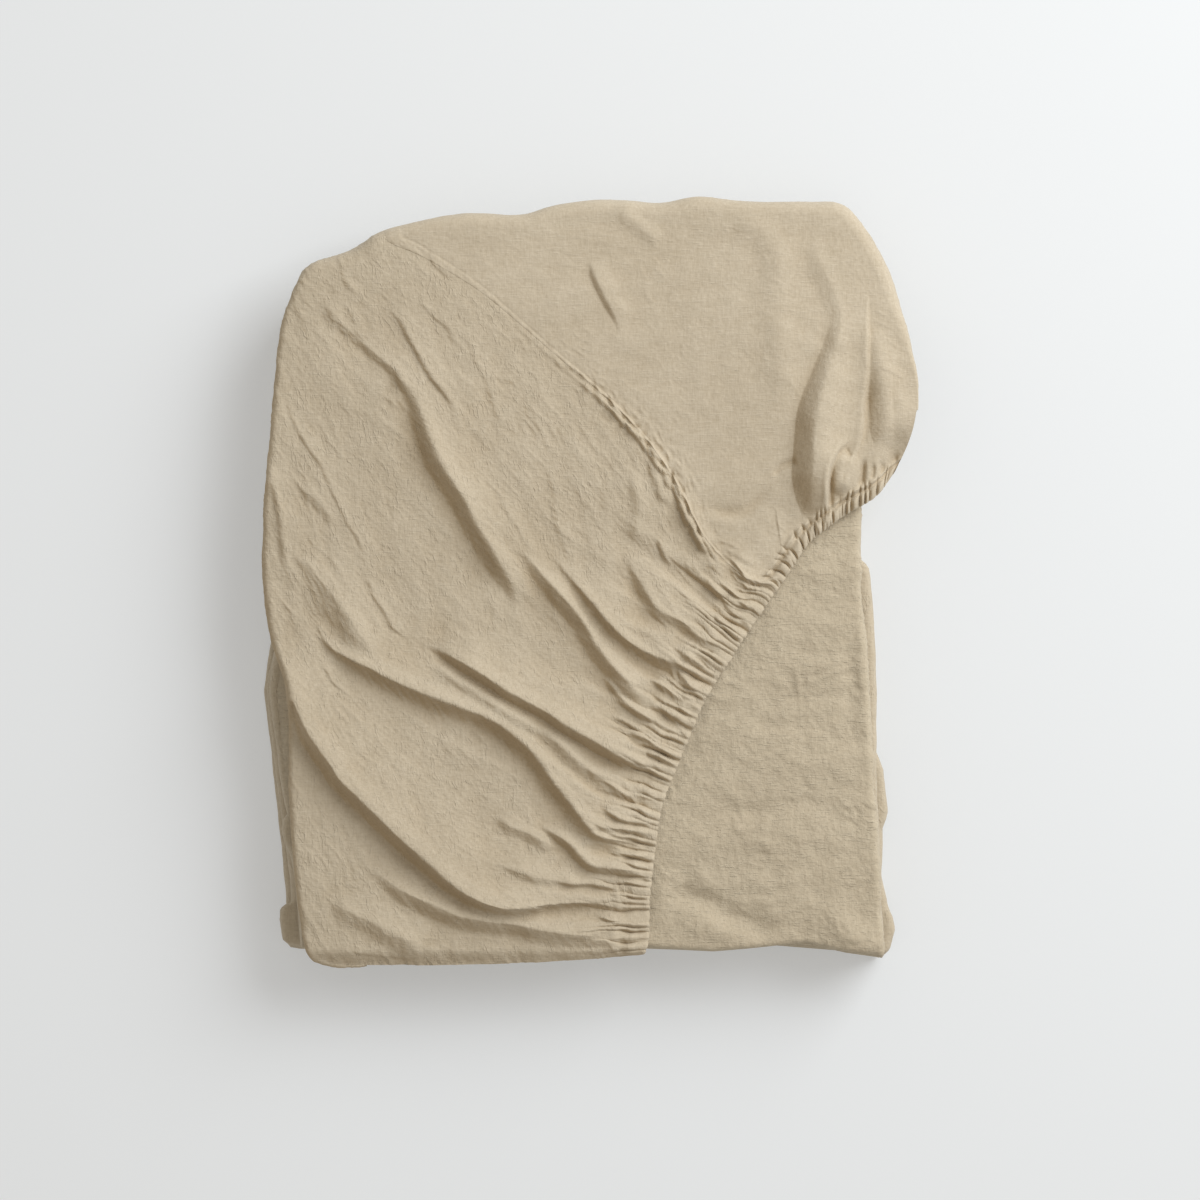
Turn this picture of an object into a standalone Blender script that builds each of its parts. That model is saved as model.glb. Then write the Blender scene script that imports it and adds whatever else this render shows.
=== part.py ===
"""Fitted bed sheet, folded into a bundle, with one gathered corner pocket lying on top.

The whole bundle is one piece of cloth. Its lower layers run back and forth across the
bundle. The last turn, at the left, opens into the corner pocket, a fan of leaning folds
that runs to the elastic hem. The elastic is inside the hem, so the hem is only a fuller
rim of the same cloth. Lengths in the tables are millimetres, and the mesh is in metres.
X runs to the right across the bundle, Y to its back edge, and Z up from the surface.
"""
from collections import namedtuple

import bmesh
import bpy
import numpy as np

MM = 0.001

# Cloth and layers
CLOTH = 2.8
AIR = 1.0
PITCH = CLOTH + AIR
LAYERS = 10
SPANS = 4
TURN_STEPS = 4
ROWS = 13
SWELL = 0.022
RAGGED = 1.1
FREE_END_BACK = 3.0
JOIN_REACH = 9.0

# Corner pocket
POCKET_LIFT = 1.2
POCKET_REST = 2.5
HEM_SHARE = 0.35
HEM_RISE = 24.0
HEM_WIDTH = 9.5
HEM_HALF = 1.75
RIM_HALF = 0.8
JOINED_TO = 0.66
FREE_BY = 0.76
TURN_TUCK = 0.42
JOINED_STEPS = 3 * ROWS
FREE_STEPS = 23
SIDE_STEPS = 8
FIELD_STEPS = 14
SIDE_LOW = 16.0
SIDE_TUCK = 7.0
END_TUCK = 3.5
END_TUCK_FROM = 0.93
SIDE_SQUARE = 0.8
FRONT_LINE = -184.5
FRONT_DROP = 4.5
HEM_END_DROP = 7.0
HEM_END_LEFT = 142.0
HEM_END_BACK = 84.0

# Left and right sides of the layers at a distance along Y
Side = namedtuple("Side", "y left right")
SIDES = [
    Side(-189, -151.0, 147.5),
    Side(-161, -152.5, 146.5),
    Side(-130, -156.5, 144.5),
    Side(-100, -160.0, 142.0),
    Side(-56, -164.0, 140.0),
    Side(-30, -160.0, 138.0),
    Side(0, -160.5, 136.0),
    Side(40, -160.0, 136.0),
    Side(80, -155.5, 141.0),
    Side(120, -151.5, 143.0),
    Side(145, -146.0, 139.0),
    Side(180, -138.0, 130.0),
]

# Front and back edges of the layers at a distance along X
End = namedtuple("End", "x front back")
ENDS = [
    End(-165, -178.0, 139.0),
    End(-148, -182.0, 144.0),
    End(-125, -184.0, 154.0),
    End(-100, -184.0, 163.0),
    End(-60, -184.0, 173.5),
    End(-15, -183.5, 177.0),
    End(30, -184.0, 180.0),
    End(62, -185.5, 181.0),
    End(108, -181.0, 178.5),
    End(130, -186.0, 171.0),
    End(150, -189.0, 160.0),
]

# Each turn between two layers, from the bottom: how far it reaches past the side
Turn = namedtuple("Turn", "side reach wave")
TURNS = [
    Turn("right", -1.5, 1.0),
    Turn("left", -2.0, 1.2),
    Turn("right", 1.2, 1.4),
    Turn("left", -4.5, 1.0),
    Turn("right", -1.0, 1.1),
    Turn("left", -1.0, 1.3),
    Turn("right", 3.4, 0.9),
    Turn("left", 0.0, 0.7),
    Turn("right", 0.0, 0.3),
]

# Outer edge of the pocket seen from above, up the left side, along the back, down the right
POCKET_EDGE = [
    (-130.0, -193.8), (-139.5, -190.0), (-143.5, -182.0), (-148.0, -152.5),
    (-151.3, -110.5), (-151.3, -80.0), (-152.5, -55.0), (-160.5, -29.0),
    (-164.5, 2.5), (-164.0, 36.5), (-160.0, 80.0), (-156.5, 120.5),
    (-151.0, 140.5), (-141.5, 158.0), (-121.5, 166.0), (-106.0, 175.5),
    (-85.0, 181.5), (-62.5, 185.0), (-35.0, 184.5), (-18.0, 189.0),
    (5.0, 191.7), (35.0, 190.5), (54.0, 193.5), (78.5, 190.8),
    (110.5, 190.8), (126.0, 189.8), (135.5, 181.5), (149.5, 158.5),
    (157.3, 134.5), (163.5, 109.0), (165.0, 88.0), (161.5, 73.0),
]

# Elastic hem, from the front of the bundle to its end at the right
HEM = [
    (27.5, -187.5), (29.5, -179.0), (30.5, -157.0), (33.5, -129.0), (37.5, -109.5),
    (49.0, -81.5), (58.5, -59.0), (71.5, -38.5), (85.5, -17.0), (100.5, 4.5),
    (110.5, 19.0), (129.0, 33.0), (143.0, 41.5), (153.0, 54.0),
]

# Lines of the fan, each from the outer edge through a bend to the hem
Rib = namedtuple("Rib", "at edge bend hem")
RIBS = [
    Rib(0.00, (-130.0, -193.8), (-50.0, -190.5), (27.5, -187.5)),
    Rib(0.08, (-147.0, -160.0), (-100.0, -183.0), (29.0, -181.0)),
    Rib(0.18, (-151.0, -100.0), (-105.0, -160.0), (30.3, -165.0)),
    Rib(0.28, (-159.0, -33.0), (-100.0, -120.0), (31.5, -145.0)),
    Rib(0.38, (-164.5, 10.0), (-85.0, -75.0), (36.0, -115.0)),
    Rib(0.50, (-160.0, 80.0), (-70.0, -15.0), (52.0, -75.0)),
    Rib(0.60, (-154.0, 132.0), (-50.0, 40.0), (71.5, -38.5)),
    Rib(0.66, (-149.0, 145.0), (-35.0, 65.0), (79.0, -27.0)),
    Rib(0.72, (-123.0, 165.0), (-15.0, 90.0), (87.5, -14.0)),
    Rib(0.76, (-103.5, 176.3), (10.0, 106.0), (94.0, -5.0)),
    Rib(0.82, (-35.0, 184.5), (55.0, 118.0), (103.0, 8.0)),
    Rib(0.88, (54.0, 193.5), (98.0, 128.0), (113.0, 21.0)),
    Rib(0.93, (126.0, 189.8), (126.0, 110.0), (128.0, 32.5)),
    Rib(0.96, (153.5, 148.0), (139.0, 95.0), (137.0, 38.0)),
    Rib(1.00, (161.5, 73.0), (149.0, 68.0), (153.0, 54.0)),
]

# Folds of the pocket. A lap is raised to the upper right of its line and drops at it,
# a groove sinks along its line, and a ridge stands up along it.
Fold = namedtuple("Fold", "name kind height width spread line")
FOLDS = [
    Fold("long lap", "lap", 9.5, 3.2, 30.0,
         [(-160, -30), (-139, -80), (-116, -109), (-82, -139), (-50, -162), (-4, -161), (30, -170)]),
    Fold("front lap", "lap", 4.5, 3.0, 14.0,
         [(-111, -149), (-82, -168), (-47, -177), (-1, -179), (28, -181)]),
    Fold("left hollow", "lap", 4.0, 5.0, 22.0,
         [(-143, 8), (-132, -12), (-119, -28), (-104, -42)]),
    Fold("middle lap", "lap", 6.0, 4.0, 20.0,
         [(-134, -29), (-106, -48), (-59, -71), (-33, -87), (-17, -111), (-3, -127), (32, -130)]),
    Fold("deep groove", "groove", 6.0, 4.0, 0.0,
         [(-84, -33), (-62, -44), (-27, -66), (7, -86), (40, -101)]),
    Fold("upper lap", "lap", 6.0, 3.5, 18.0,
         [(-104, 111), (-85, 80), (-69, 41), (-52, 9), (-35, -15)]),
    Fold("upper crease", "lap", 3.0, 3.5, 12.0,
         [(-102, 135), (-85, 110), (-72, 91), (-64, 75)]),
    Fold("second lap", "lap", 5.0, 3.5, 16.0,
         [(-34, 10), (-16, -11), (5, -40), (22, -56)]),
    Fold("third lap", "lap", 5.0, 3.0, 12.0,
         [(-17, 11), (4, -18), (30, -39), (63, -54)]),
    Fold("seam lap", "lap", 4.0, 3.0, 12.0,
         [(21, 6), (37, -17), (59, -33), (72, -38)]),
    Fold("low groove", "groove", 3.0, 3.5, 0.0,
         [(-43, -121), (-14, -132), (0, -144), (26, -146)]),
    Fold("seam", "ridge", 2.0, 4.5, 0.0,
         [(-102, 172), (-53, 147), (0, 99), (45, 47), (75, 3), (94, -5)]),
    Fold("right valley", "groove", 8.0, 8.0, 0.0,
         [(105, 162), (119, 135), (117, 115), (109, 84), (106, 56), (104, 28)]),
    Fold("right roll", "ridge", 4.0, 9.0, 0.0,
         [(133, 174), (138, 130), (136, 84), (128, 46)]),
    Fold("outer roll", "ridge", 3.0, 6.0, 0.0,
         [(148, 140), (149, 82), (145, 56)]),
    Fold("back ridge", "ridge", 2.5, 8.0, 0.0,
         [(60, 188), (88, 170), (94, 130), (96, 86)]),
    Fold("back dent", "groove", 2.0, 3.5, 0.0,
         [(-2, 160), (4, 146), (12, 131)]),
]

# Broad swellings of the pocket: centre, half widths and height
Puff = namedtuple("Puff", "x y wide deep height")
PUFFS = [
    Puff(-85.0, -20.0, 90.0, 110.0, 3.0),
    Puff(-60.0, 110.0, 80.0, 60.0, 2.5),
    Puff(95.0, 125.0, 75.0, 70.0, 4.5),
    Puff(30.0, 20.0, 45.0, 60.0, 2.0),
]

CLOTH_COLOUR = (0.56, 0.48, 0.35, 1.0)
CLOTH_ROUGHNESS = 0.9


def smooth(value):
    """Ease from 0 to 1 as value goes from 0 to 1."""
    part = np.clip(value, 0.0, 1.0)
    return part * part * (3.0 - 2.0 * part)


def round_curve(points, per_span=8):
    """Sample a smooth curve through the points, per_span steps between each two."""
    pts = np.array(points, dtype=float)
    ends = np.vstack([2 * pts[0] - pts[1], pts, 2 * pts[-1] - pts[-2]])
    samples = []
    for i in range(len(pts) - 1):
        a, b, c, d = ends[i:i + 4]
        for step in range(per_span):
            t = step / per_span
            samples.append(0.5 * (2 * b + (c - a) * t + (2 * a - 5 * b + 4 * c - d) * t ** 2
                                  + (3 * b - a - 3 * c + d) * t ** 3))
    samples.append(pts[-1])
    return np.array(samples)


def shares(curve):
    """Length along a sampled curve at each sample, as a share of the whole."""
    steps = np.linalg.norm(np.diff(curve, axis=0), axis=1)
    along = np.concatenate([[0.0], np.cumsum(steps)])
    return along / along[-1]


def at_share(curve, share):
    """Points of a sampled curve at the given shares of its length."""
    along = shares(curve)
    return np.stack([np.interp(share, along, curve[:, axis]) for axis in range(curve.shape[1])], axis=-1)


def share_near(curve, point):
    """Share of the length of a sampled curve at its sample nearest to the point."""
    nearest = np.argmin(np.linalg.norm(curve - np.array(point), axis=1))
    return shares(curve)[nearest]


def distance_to(curve, x, y):
    """Signed distance to a sampled curve, positive to its left, and the share where it is least."""
    start, span = curve[:-1], np.diff(curve, axis=0)
    to_x = x[..., None] - start[:, 0]
    to_y = y[..., None] - start[:, 1]
    t = np.clip((to_x * span[:, 0] + to_y * span[:, 1]) / np.sum(span ** 2, axis=1), 0.0, 1.0)
    off_x = to_x - t * span[:, 0]
    off_y = to_y - t * span[:, 1]
    gap = np.hypot(off_x, off_y)
    best = np.argmin(gap, axis=-1)[..., None]
    side = np.take_along_axis(span[:, 0] * to_y - span[:, 1] * to_x, best, -1)[..., 0]
    along = shares(curve)
    share = along[:-1] + t * np.diff(along)
    near = np.take_along_axis(gap, best, -1)[..., 0]
    return np.where(side >= 0, near, -near), np.take_along_axis(share, best, -1)[..., 0]


def fold_relief(fold, x, y):
    """Height that one fold adds at each point."""
    off, share = distance_to(round_curve(fold.line), x, y)
    fade = smooth(share / 0.16) * (0.55 + 0.45 * smooth((1.0 - share) / 0.16))
    if fold.kind == "lap":
        rise = 0.5 * (1.0 + np.tanh(off / fold.width))
        back = np.exp(-(np.maximum(off, 0.0) / fold.spread) ** 2)
        foot = np.exp(-((off + 2.0 * fold.width) / (2.0 * fold.width)) ** 2)
        return fold.height * fade * (rise * back - 0.2 * foot)
    bell = np.exp(-(off / fold.width) ** 2)
    return fold.height * fade * (bell if fold.kind == "ridge" else -bell)


def pocket_relief(x, y, hem_gap):
    """Height of the pocket over the top layer, never below it, lowest at the hem."""
    height = np.full_like(x, POCKET_REST)
    for puff in PUFFS:
        height += puff.height * np.exp(-((x - puff.x) / puff.wide) ** 2 - ((y - puff.y) / puff.deep) ** 2)
    for fold in FOLDS:
        height += fold_relief(fold, x, y)
    height = np.logaddexp(0.0, 1.2 * height) / 1.2
    height *= HEM_SHARE + (1.0 - HEM_SHARE) * smooth(hem_gap / HEM_RISE)
    under_hem = x < HEM[0][0] + 0.5 * HEM_WIDTH
    return height - FRONT_DROP * smooth((FRONT_LINE - y) / HEM_WIDTH) * under_hem


def swell(x, y):
    """Slow rise and fall of the layers over the bundle, about 1."""
    return 1.0 + SWELL * (np.sin(x / 47.0 + 0.6) * np.cos(y / 61.0 - 0.4) + 0.5 * np.sin(y / 33.0))


def layer_height(level, x, y):
    """Height of a layer's middle, where level counts layers from the lowest."""
    return 0.5 * CLOTH + level * PITCH * swell(x, y)


def side_at(column, y):
    """Left or right side of the layers at a distance along Y."""
    return np.interp(y, [row.y for row in SIDES], [getattr(row, column) for row in SIDES])


def end_at(column, x):
    """Front or back edge of the layers at a distance along X."""
    return np.interp(x, [row.x for row in ENDS], [getattr(row, column) for row in ENDS])


def place_row(x_of, share, level):
    """Points of one column of a layer, with x given as a function of y."""
    y = SIDES[0].y * (1 - share) + SIDES[-1].y * share
    for _ in range(3):
        x = x_of(y)
        ragged = RAGGED * np.sin(1.7 * level + x / 41.0)
        y = (end_at("front", x) + ragged) * (1 - share) + (end_at("back", x) + ragged) * share
    return x_of(y), y


def turn_edge(index, y):
    """Where the middle of the cloth turns back, at its outermost, for one turn."""
    turn = TURNS[index]
    out = turn.reach + turn.wave * np.sin(y / 29.0 + 2.1 * index)
    if turn.side == "left":
        return side_at("left", y) - out + 0.5 * CLOTH
    return side_at("right", y) + out - 0.5 * CLOTH


def stack_columns(pocket_side):
    """Columns of the layers in order along the cloth, each as points and normals.

    pocket_side gives the x where the top layer meets the pocket, as a function of y.
    The normal is that of the face which looks down on the lowest layer.
    """
    share = np.linspace(0.0, 1.0, ROWS + 1)
    radius = 0.5 * PITCH
    columns = []

    def add(x, y, z, nx, nz):
        points = np.stack([x, y, z], axis=-1)
        normal = np.tile([nx, 0.0, nz], (len(share), 1))
        columns.append((points, normal))

    for layer in range(LAYERS):
        runs_right = layer % 2 == 0
        out = 1.0 if runs_right else -1.0

        def along_layer(y, stop):
            start = turn_edge(layer - 1, y) + out * radius if layer else side_at("left", y) + FREE_END_BACK
            end = pocket_side(y) if layer == LAYERS - 1 else turn_edge(layer, y) - out * radius
            return start * (1 - stop) + end * stop

        for stop in np.linspace(0.0, 1.0, SPANS + 1):
            x, y = place_row(lambda y: along_layer(y, stop), share, layer)
            add(x, y, layer_height(layer, x, y), 0.0, -out)
        if layer == LAYERS - 1:
            break
        for step in range(1, TURN_STEPS):
            angle = np.pi * step / TURN_STEPS
            level = layer + 0.5 - 0.5 * np.cos(angle)
            reach = out * radius * (np.sin(angle) - 1.0)
            x, y = place_row(lambda y: turn_edge(layer, y) + reach, share, level)
            add(x, y, layer_height(level, x, y), np.sin(angle), -out * np.cos(angle))
    return columns


def pocket_ribs():
    """Values of the fan line, joined part first, then the free part."""
    joined = np.linspace(0.0, JOINED_TO, JOINED_STEPS + 1)
    return np.concatenate([joined, np.linspace(JOINED_TO, 1.0, FREE_STEPS + 1)[1:]])


def pocket_plan(ribs):
    """For each rib: outer edge, its outward direction, bend and hem point, all seen from above."""
    edge, hem = round_curve(POCKET_EDGE), round_curve(HEM)
    at = [rib.at for rib in RIBS]
    edge_share = np.interp(ribs, at, [share_near(edge, rib.edge) for rib in RIBS])
    hem_share = np.interp(ribs, at, [share_near(hem, rib.hem) for rib in RIBS])
    bend = np.stack([np.interp(ribs, at, [rib.bend[axis] for rib in RIBS]) for axis in (0, 1)], axis=-1)
    ahead = at_share(edge, np.clip(edge_share + 0.012, 0, 1))
    behind = at_share(edge, np.clip(edge_share - 0.012, 0, 1))
    along = ahead - behind
    outward = np.stack([-along[:, 1], along[:, 0]], axis=-1)
    outward /= np.linalg.norm(outward, axis=1)[:, None]
    return at_share(edge, edge_share), outward, bend, at_share(hem, hem_share)


def rib_points(start, bend, end, gaps):
    """Points on a bent line, the last few at the given distances from its end."""
    t = np.linspace(0.0, 1.0, 81)[:, None]
    line = start * (1 - t) ** 2 + 2 * bend * t * (1 - t) + end * t ** 2
    steps = np.linalg.norm(np.diff(line, axis=0), axis=1)
    along = np.concatenate([[0.0], np.cumsum(steps)])
    total = along[-1]
    last = total - min(gaps[0], 0.4 * total)
    inner = np.linspace(0.0, last, FIELD_STEPS + 1)
    outer = total - np.minimum(gaps[1:], 0.4 * total * np.array(gaps[1:]) / gaps[0])
    wanted = np.concatenate([inner, outer])
    return np.stack([np.interp(wanted, along, line[:, axis]) for axis in (0, 1)], axis=-1), total - wanted


def pocket_grid():
    """Middle of the pocket's cloth as a grid, its upward normals and its half thickness."""
    ribs = pocket_ribs()
    edge, outward, bend, hem = pocket_plan(ribs)
    edge = edge - 0.5 * CLOTH * outward
    free = smooth((ribs - JOINED_TO) / (FREE_BY - JOINED_TO))
    angles = np.linspace(-0.5 * np.pi, 0.5 * np.pi, SIDE_STEPS + 1)
    columns, half = [], []
    for i, rib in enumerate(ribs):
        base = layer_height(LAYERS, *edge[i]) + POCKET_LIFT
        low = layer_height(LAYERS - 1, *edge[i]) * (1 - free[i]) + SIDE_LOW * free[i]
        lift = pocket_relief(*(np.array([value]) for value in edge[i]), np.array([HEM_RISE]))[0]
        near_end = smooth((rib - END_TUCK_FROM) / (1.0 - END_TUCK_FROM))
        free_tuck = SIDE_TUCK * (1 - near_end) + END_TUCK * near_end
        tuck = TURN_TUCK * (base + lift - low) * (1 - free[i]) + free_tuck * free[i]
        start = edge[i] - tuck * outward[i]
        plan, gap = rib_points(start, bend[i], hem[i], [HEM_WIDTH, 0.5 * HEM_WIDTH, 0.0])
        x, y = plan[:, 0], plan[:, 1]
        top = layer_height(LAYERS, x, y) + POCKET_LIFT + pocket_relief(x, y, gap)
        top -= HEM_END_DROP * smooth((x - HEM_END_LEFT) / 12.0) * smooth((HEM_END_BACK - y) / 24.0)
        square = 1.0 + (SIDE_SQUARE - 1.0) * free[i]
        cos = np.abs(np.cos(angles)) ** square
        sin = np.sign(np.sin(angles)) * np.abs(np.sin(angles)) ** square
        side_plan = start + tuck * cos[:, None] * outward[i]
        side_z = 0.5 * (top[0] + low) + 0.5 * (top[0] - low) * sin
        side = np.column_stack([side_plan, side_z])[:-1]
        columns.append(np.vstack([side, np.column_stack([x, y, top])]))
        rim = np.interp(gap, [0.0, 0.5 * HEM_WIDTH, 1.3 * HEM_WIDTH], [RIM_HALF, HEM_HALF, 0.5 * CLOTH])
        half.append(np.concatenate([np.full(SIDE_STEPS, 0.5 * CLOTH), rim]))
    grid = np.array(columns)
    across = np.gradient(grid, axis=0)
    down = np.gradient(grid, axis=1)
    normal = np.cross(down, across)
    normal /= np.linalg.norm(normal, axis=2)[..., None]
    return grid, normal, np.array(half)


class Skin:
    """Collects the two faces of the cloth and the walls round its rim."""

    def __init__(self):
        self.points = []
        self.faces = []

    def add_grid(self, points):
        """Store a grid of points and return the same grid of their numbers."""
        first = len(self.points)
        flat = points.reshape(-1, 3)
        self.points.extend(map(tuple, flat))
        return np.arange(first, first + len(flat)).reshape(points.shape[:-1])

    def quads(self, grid):
        """Cover a grid of point numbers."""
        for i in range(grid.shape[0] - 1):
            for j in range(grid.shape[1] - 1):
                self.faces.append((grid[i, j], grid[i + 1, j], grid[i + 1, j + 1], grid[i, j + 1]))

    def wall(self, one, other):
        """Close the rim between the same line on both faces of the cloth."""
        for i in range(len(one) - 1):
            self.faces.append((one[i], one[i + 1], other[i + 1], other[i]))

    def blend_rows(self, coarse, fine):
        """Join a coarse line to a line with three steps for each of its own."""
        for i in range(len(coarse) - 1):
            a, b, c, d = fine[3 * i:3 * i + 4]
            self.faces += [(coarse[i], a, b), (coarse[i], b, coarse[i + 1])]
            self.faces += [(coarse[i + 1], b, c), (coarse[i + 1], c, d)]


def build_cloth():
    """Model the whole sheet as one closed solid and return its mesh."""
    grid, up, half = pocket_grid()
    joint = grid[:JOINED_STEPS + 1, 0]

    def pocket_side(y):
        return np.interp(y, joint[:, 1], joint[:, 0]) + JOIN_REACH

    columns = stack_columns(pocket_side)
    middle = np.array([points for points, _ in columns])
    normal = np.array([way for _, way in columns])
    skin = Skin()
    stack_a = skin.add_grid((middle + 0.5 * CLOTH * normal) * MM)
    stack_b = skin.add_grid((middle - 0.5 * CLOTH * normal) * MM)
    pocket_a = skin.add_grid((grid - half[..., None] * up) * MM)
    pocket_b = skin.add_grid((grid + half[..., None] * up) * MM)
    joined = slice(0, JOINED_STEPS + 1)
    for stack, pocket in ((stack_a, pocket_a), (stack_b, pocket_b)):
        skin.quads(stack)
        skin.quads(pocket)
        skin.blend_rows(stack[-1], pocket[joined, 0])
    skin.wall(stack_a[0], stack_b[0])
    for row, rib in ((0, 0), (-1, JOINED_STEPS)):
        skin.wall(stack_a[:, row], stack_b[:, row])
        skin.wall([stack_a[-1, row], pocket_a[rib, 0]], [stack_b[-1, row], pocket_b[rib, 0]])
    for line in (0, -1):
        skin.wall(pocket_a[line], pocket_b[line])
    skin.wall(pocket_a[:, -1], pocket_b[:, -1])
    skin.wall(pocket_a[JOINED_STEPS:, 0], pocket_b[JOINED_STEPS:, 0])
    mesh = bpy.data.meshes.new("fitted_sheet")
    mesh.from_pydata(skin.points, [], [tuple(int(k) for k in face) for face in skin.faces])
    bm = bmesh.new()
    bm.from_mesh(mesh)
    bmesh.ops.triangulate(bm, faces=bm.faces)
    bmesh.ops.recalc_face_normals(bm, faces=bm.faces)
    bm.to_mesh(mesh)
    bm.free()
    mesh.shade_smooth()
    return mesh


def cloth_material():
    """Washed beige cloth."""
    material = bpy.data.materials.new("washed_cloth")
    material.use_nodes = True
    surface = material.node_tree.nodes["Principled BSDF"]
    surface.inputs["Base Color"].default_value = CLOTH_COLOUR
    surface.inputs["Roughness"].default_value = CLOTH_ROUGHNESS
    surface.inputs["Metallic"].default_value = 0.0
    return material


def main():
    for old in list(bpy.data.objects):
        bpy.data.objects.remove(old, do_unlink=True)
    mesh = build_cloth()
    mesh.materials.append(cloth_material())
    sheet = bpy.data.objects.new("fitted_sheet", mesh)
    bpy.context.collection.objects.link(sheet)


main()
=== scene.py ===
"""Looks of the folded fitted sheet: washed cloth, leaning folds, gathered elastic hem.

The sheet lies as a flat bundle. Its lower layers run back and forth, and the last turn
opens into a corner pocket that lies across the top. Tables hold millimetres in the
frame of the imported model, and meshes are made in metres.
"""
from __future__ import annotations

import logging
from dataclasses import dataclass, field
from enum import Enum
from typing import Callable, NamedTuple, Sequence

import bpy
import numpy as np
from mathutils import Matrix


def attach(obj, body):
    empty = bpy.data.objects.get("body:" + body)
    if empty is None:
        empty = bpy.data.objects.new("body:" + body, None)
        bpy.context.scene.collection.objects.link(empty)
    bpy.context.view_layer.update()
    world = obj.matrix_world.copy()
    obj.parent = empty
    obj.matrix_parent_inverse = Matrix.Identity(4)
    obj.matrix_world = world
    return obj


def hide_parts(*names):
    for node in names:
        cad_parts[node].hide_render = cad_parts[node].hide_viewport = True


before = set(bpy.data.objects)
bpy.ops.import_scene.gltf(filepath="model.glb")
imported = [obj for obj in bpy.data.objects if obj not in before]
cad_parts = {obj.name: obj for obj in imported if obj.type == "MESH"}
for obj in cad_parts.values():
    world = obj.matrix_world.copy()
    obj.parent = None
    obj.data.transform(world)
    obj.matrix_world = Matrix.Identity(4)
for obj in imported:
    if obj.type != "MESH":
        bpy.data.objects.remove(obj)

log = logging.getLogger("fitted_sheet")
MM = 0.001
NODE = "fitted_sheet"
NEAR_TURN = 0.07
Points = Sequence[tuple[float, float]]


class FoldKind(Enum):
    """Ways in which a fold of the cloth stands or sinks."""

    LAP = "raised to the left of its line, with an even slope down from it"
    STEP = "raised to the left of its line, steepest at the line"
    ROLL = "raised to the left of its line, steepest at its foot"
    GROOVE = "sinks along its line"
    RIDGE = "stands up along its line"


class Side(Enum):
    """Sides of the bundle."""

    LEFT = "left"
    RIGHT = "right"


class Stretch(Enum):
    """Parts of the strip of cloth: level, or bent round a turn."""

    RUN = "run"
    TURN = "turn"


class Hold(Enum):
    """Ways in which a sheet is held."""

    GATHERED = "gathered"
    FOLDED = "folded"


class Fold(NamedTuple):
    """One fold: height, width of its drop, how far it fades back, crest line, and soft ends."""

    name: str
    kind: FoldKind
    height: float
    width: float
    spread: float
    line: Points
    grow: float = 0.28
    shrink: float = 0.16


class Puff(NamedTuple):
    """One broad swelling: centre, half widths and height."""

    x: float
    y: float
    wide: float
    deep: float
    height: float


class Rib(NamedTuple):
    """One line of the pocket's fan, from its outer edge through a bend to the hem."""

    at: float
    edge: tuple[float, float]
    bend: tuple[float, float]
    hem: tuple[float, float]


class Turn(NamedTuple):
    """One turn between two layers: its side, its reach past the side, its wave, and its own edge."""

    side: Side
    reach: float
    wave: float
    edge: Points = ()


class Station(NamedTuple):
    """One column of the layers: its layer, its share of the way or its angle, and its stretch."""

    layer: int
    value: float
    stretch: Stretch


class Fan(NamedTuple):
    """The ribs of the pocket: one row for each rib."""

    ribs: np.ndarray
    edge: np.ndarray
    bend: np.ndarray
    hem: np.ndarray
    outward: np.ndarray
    place: np.ndarray
    free: np.ndarray
    near_end: np.ndarray


LAP, STEP, ROLL = FoldKind.LAP, FoldKind.STEP, FoldKind.ROLL
GROOVE, RIDGE = FoldKind.GROOVE, FoldKind.RIDGE
LEFT, RIGHT = Side.LEFT, Side.RIGHT

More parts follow.
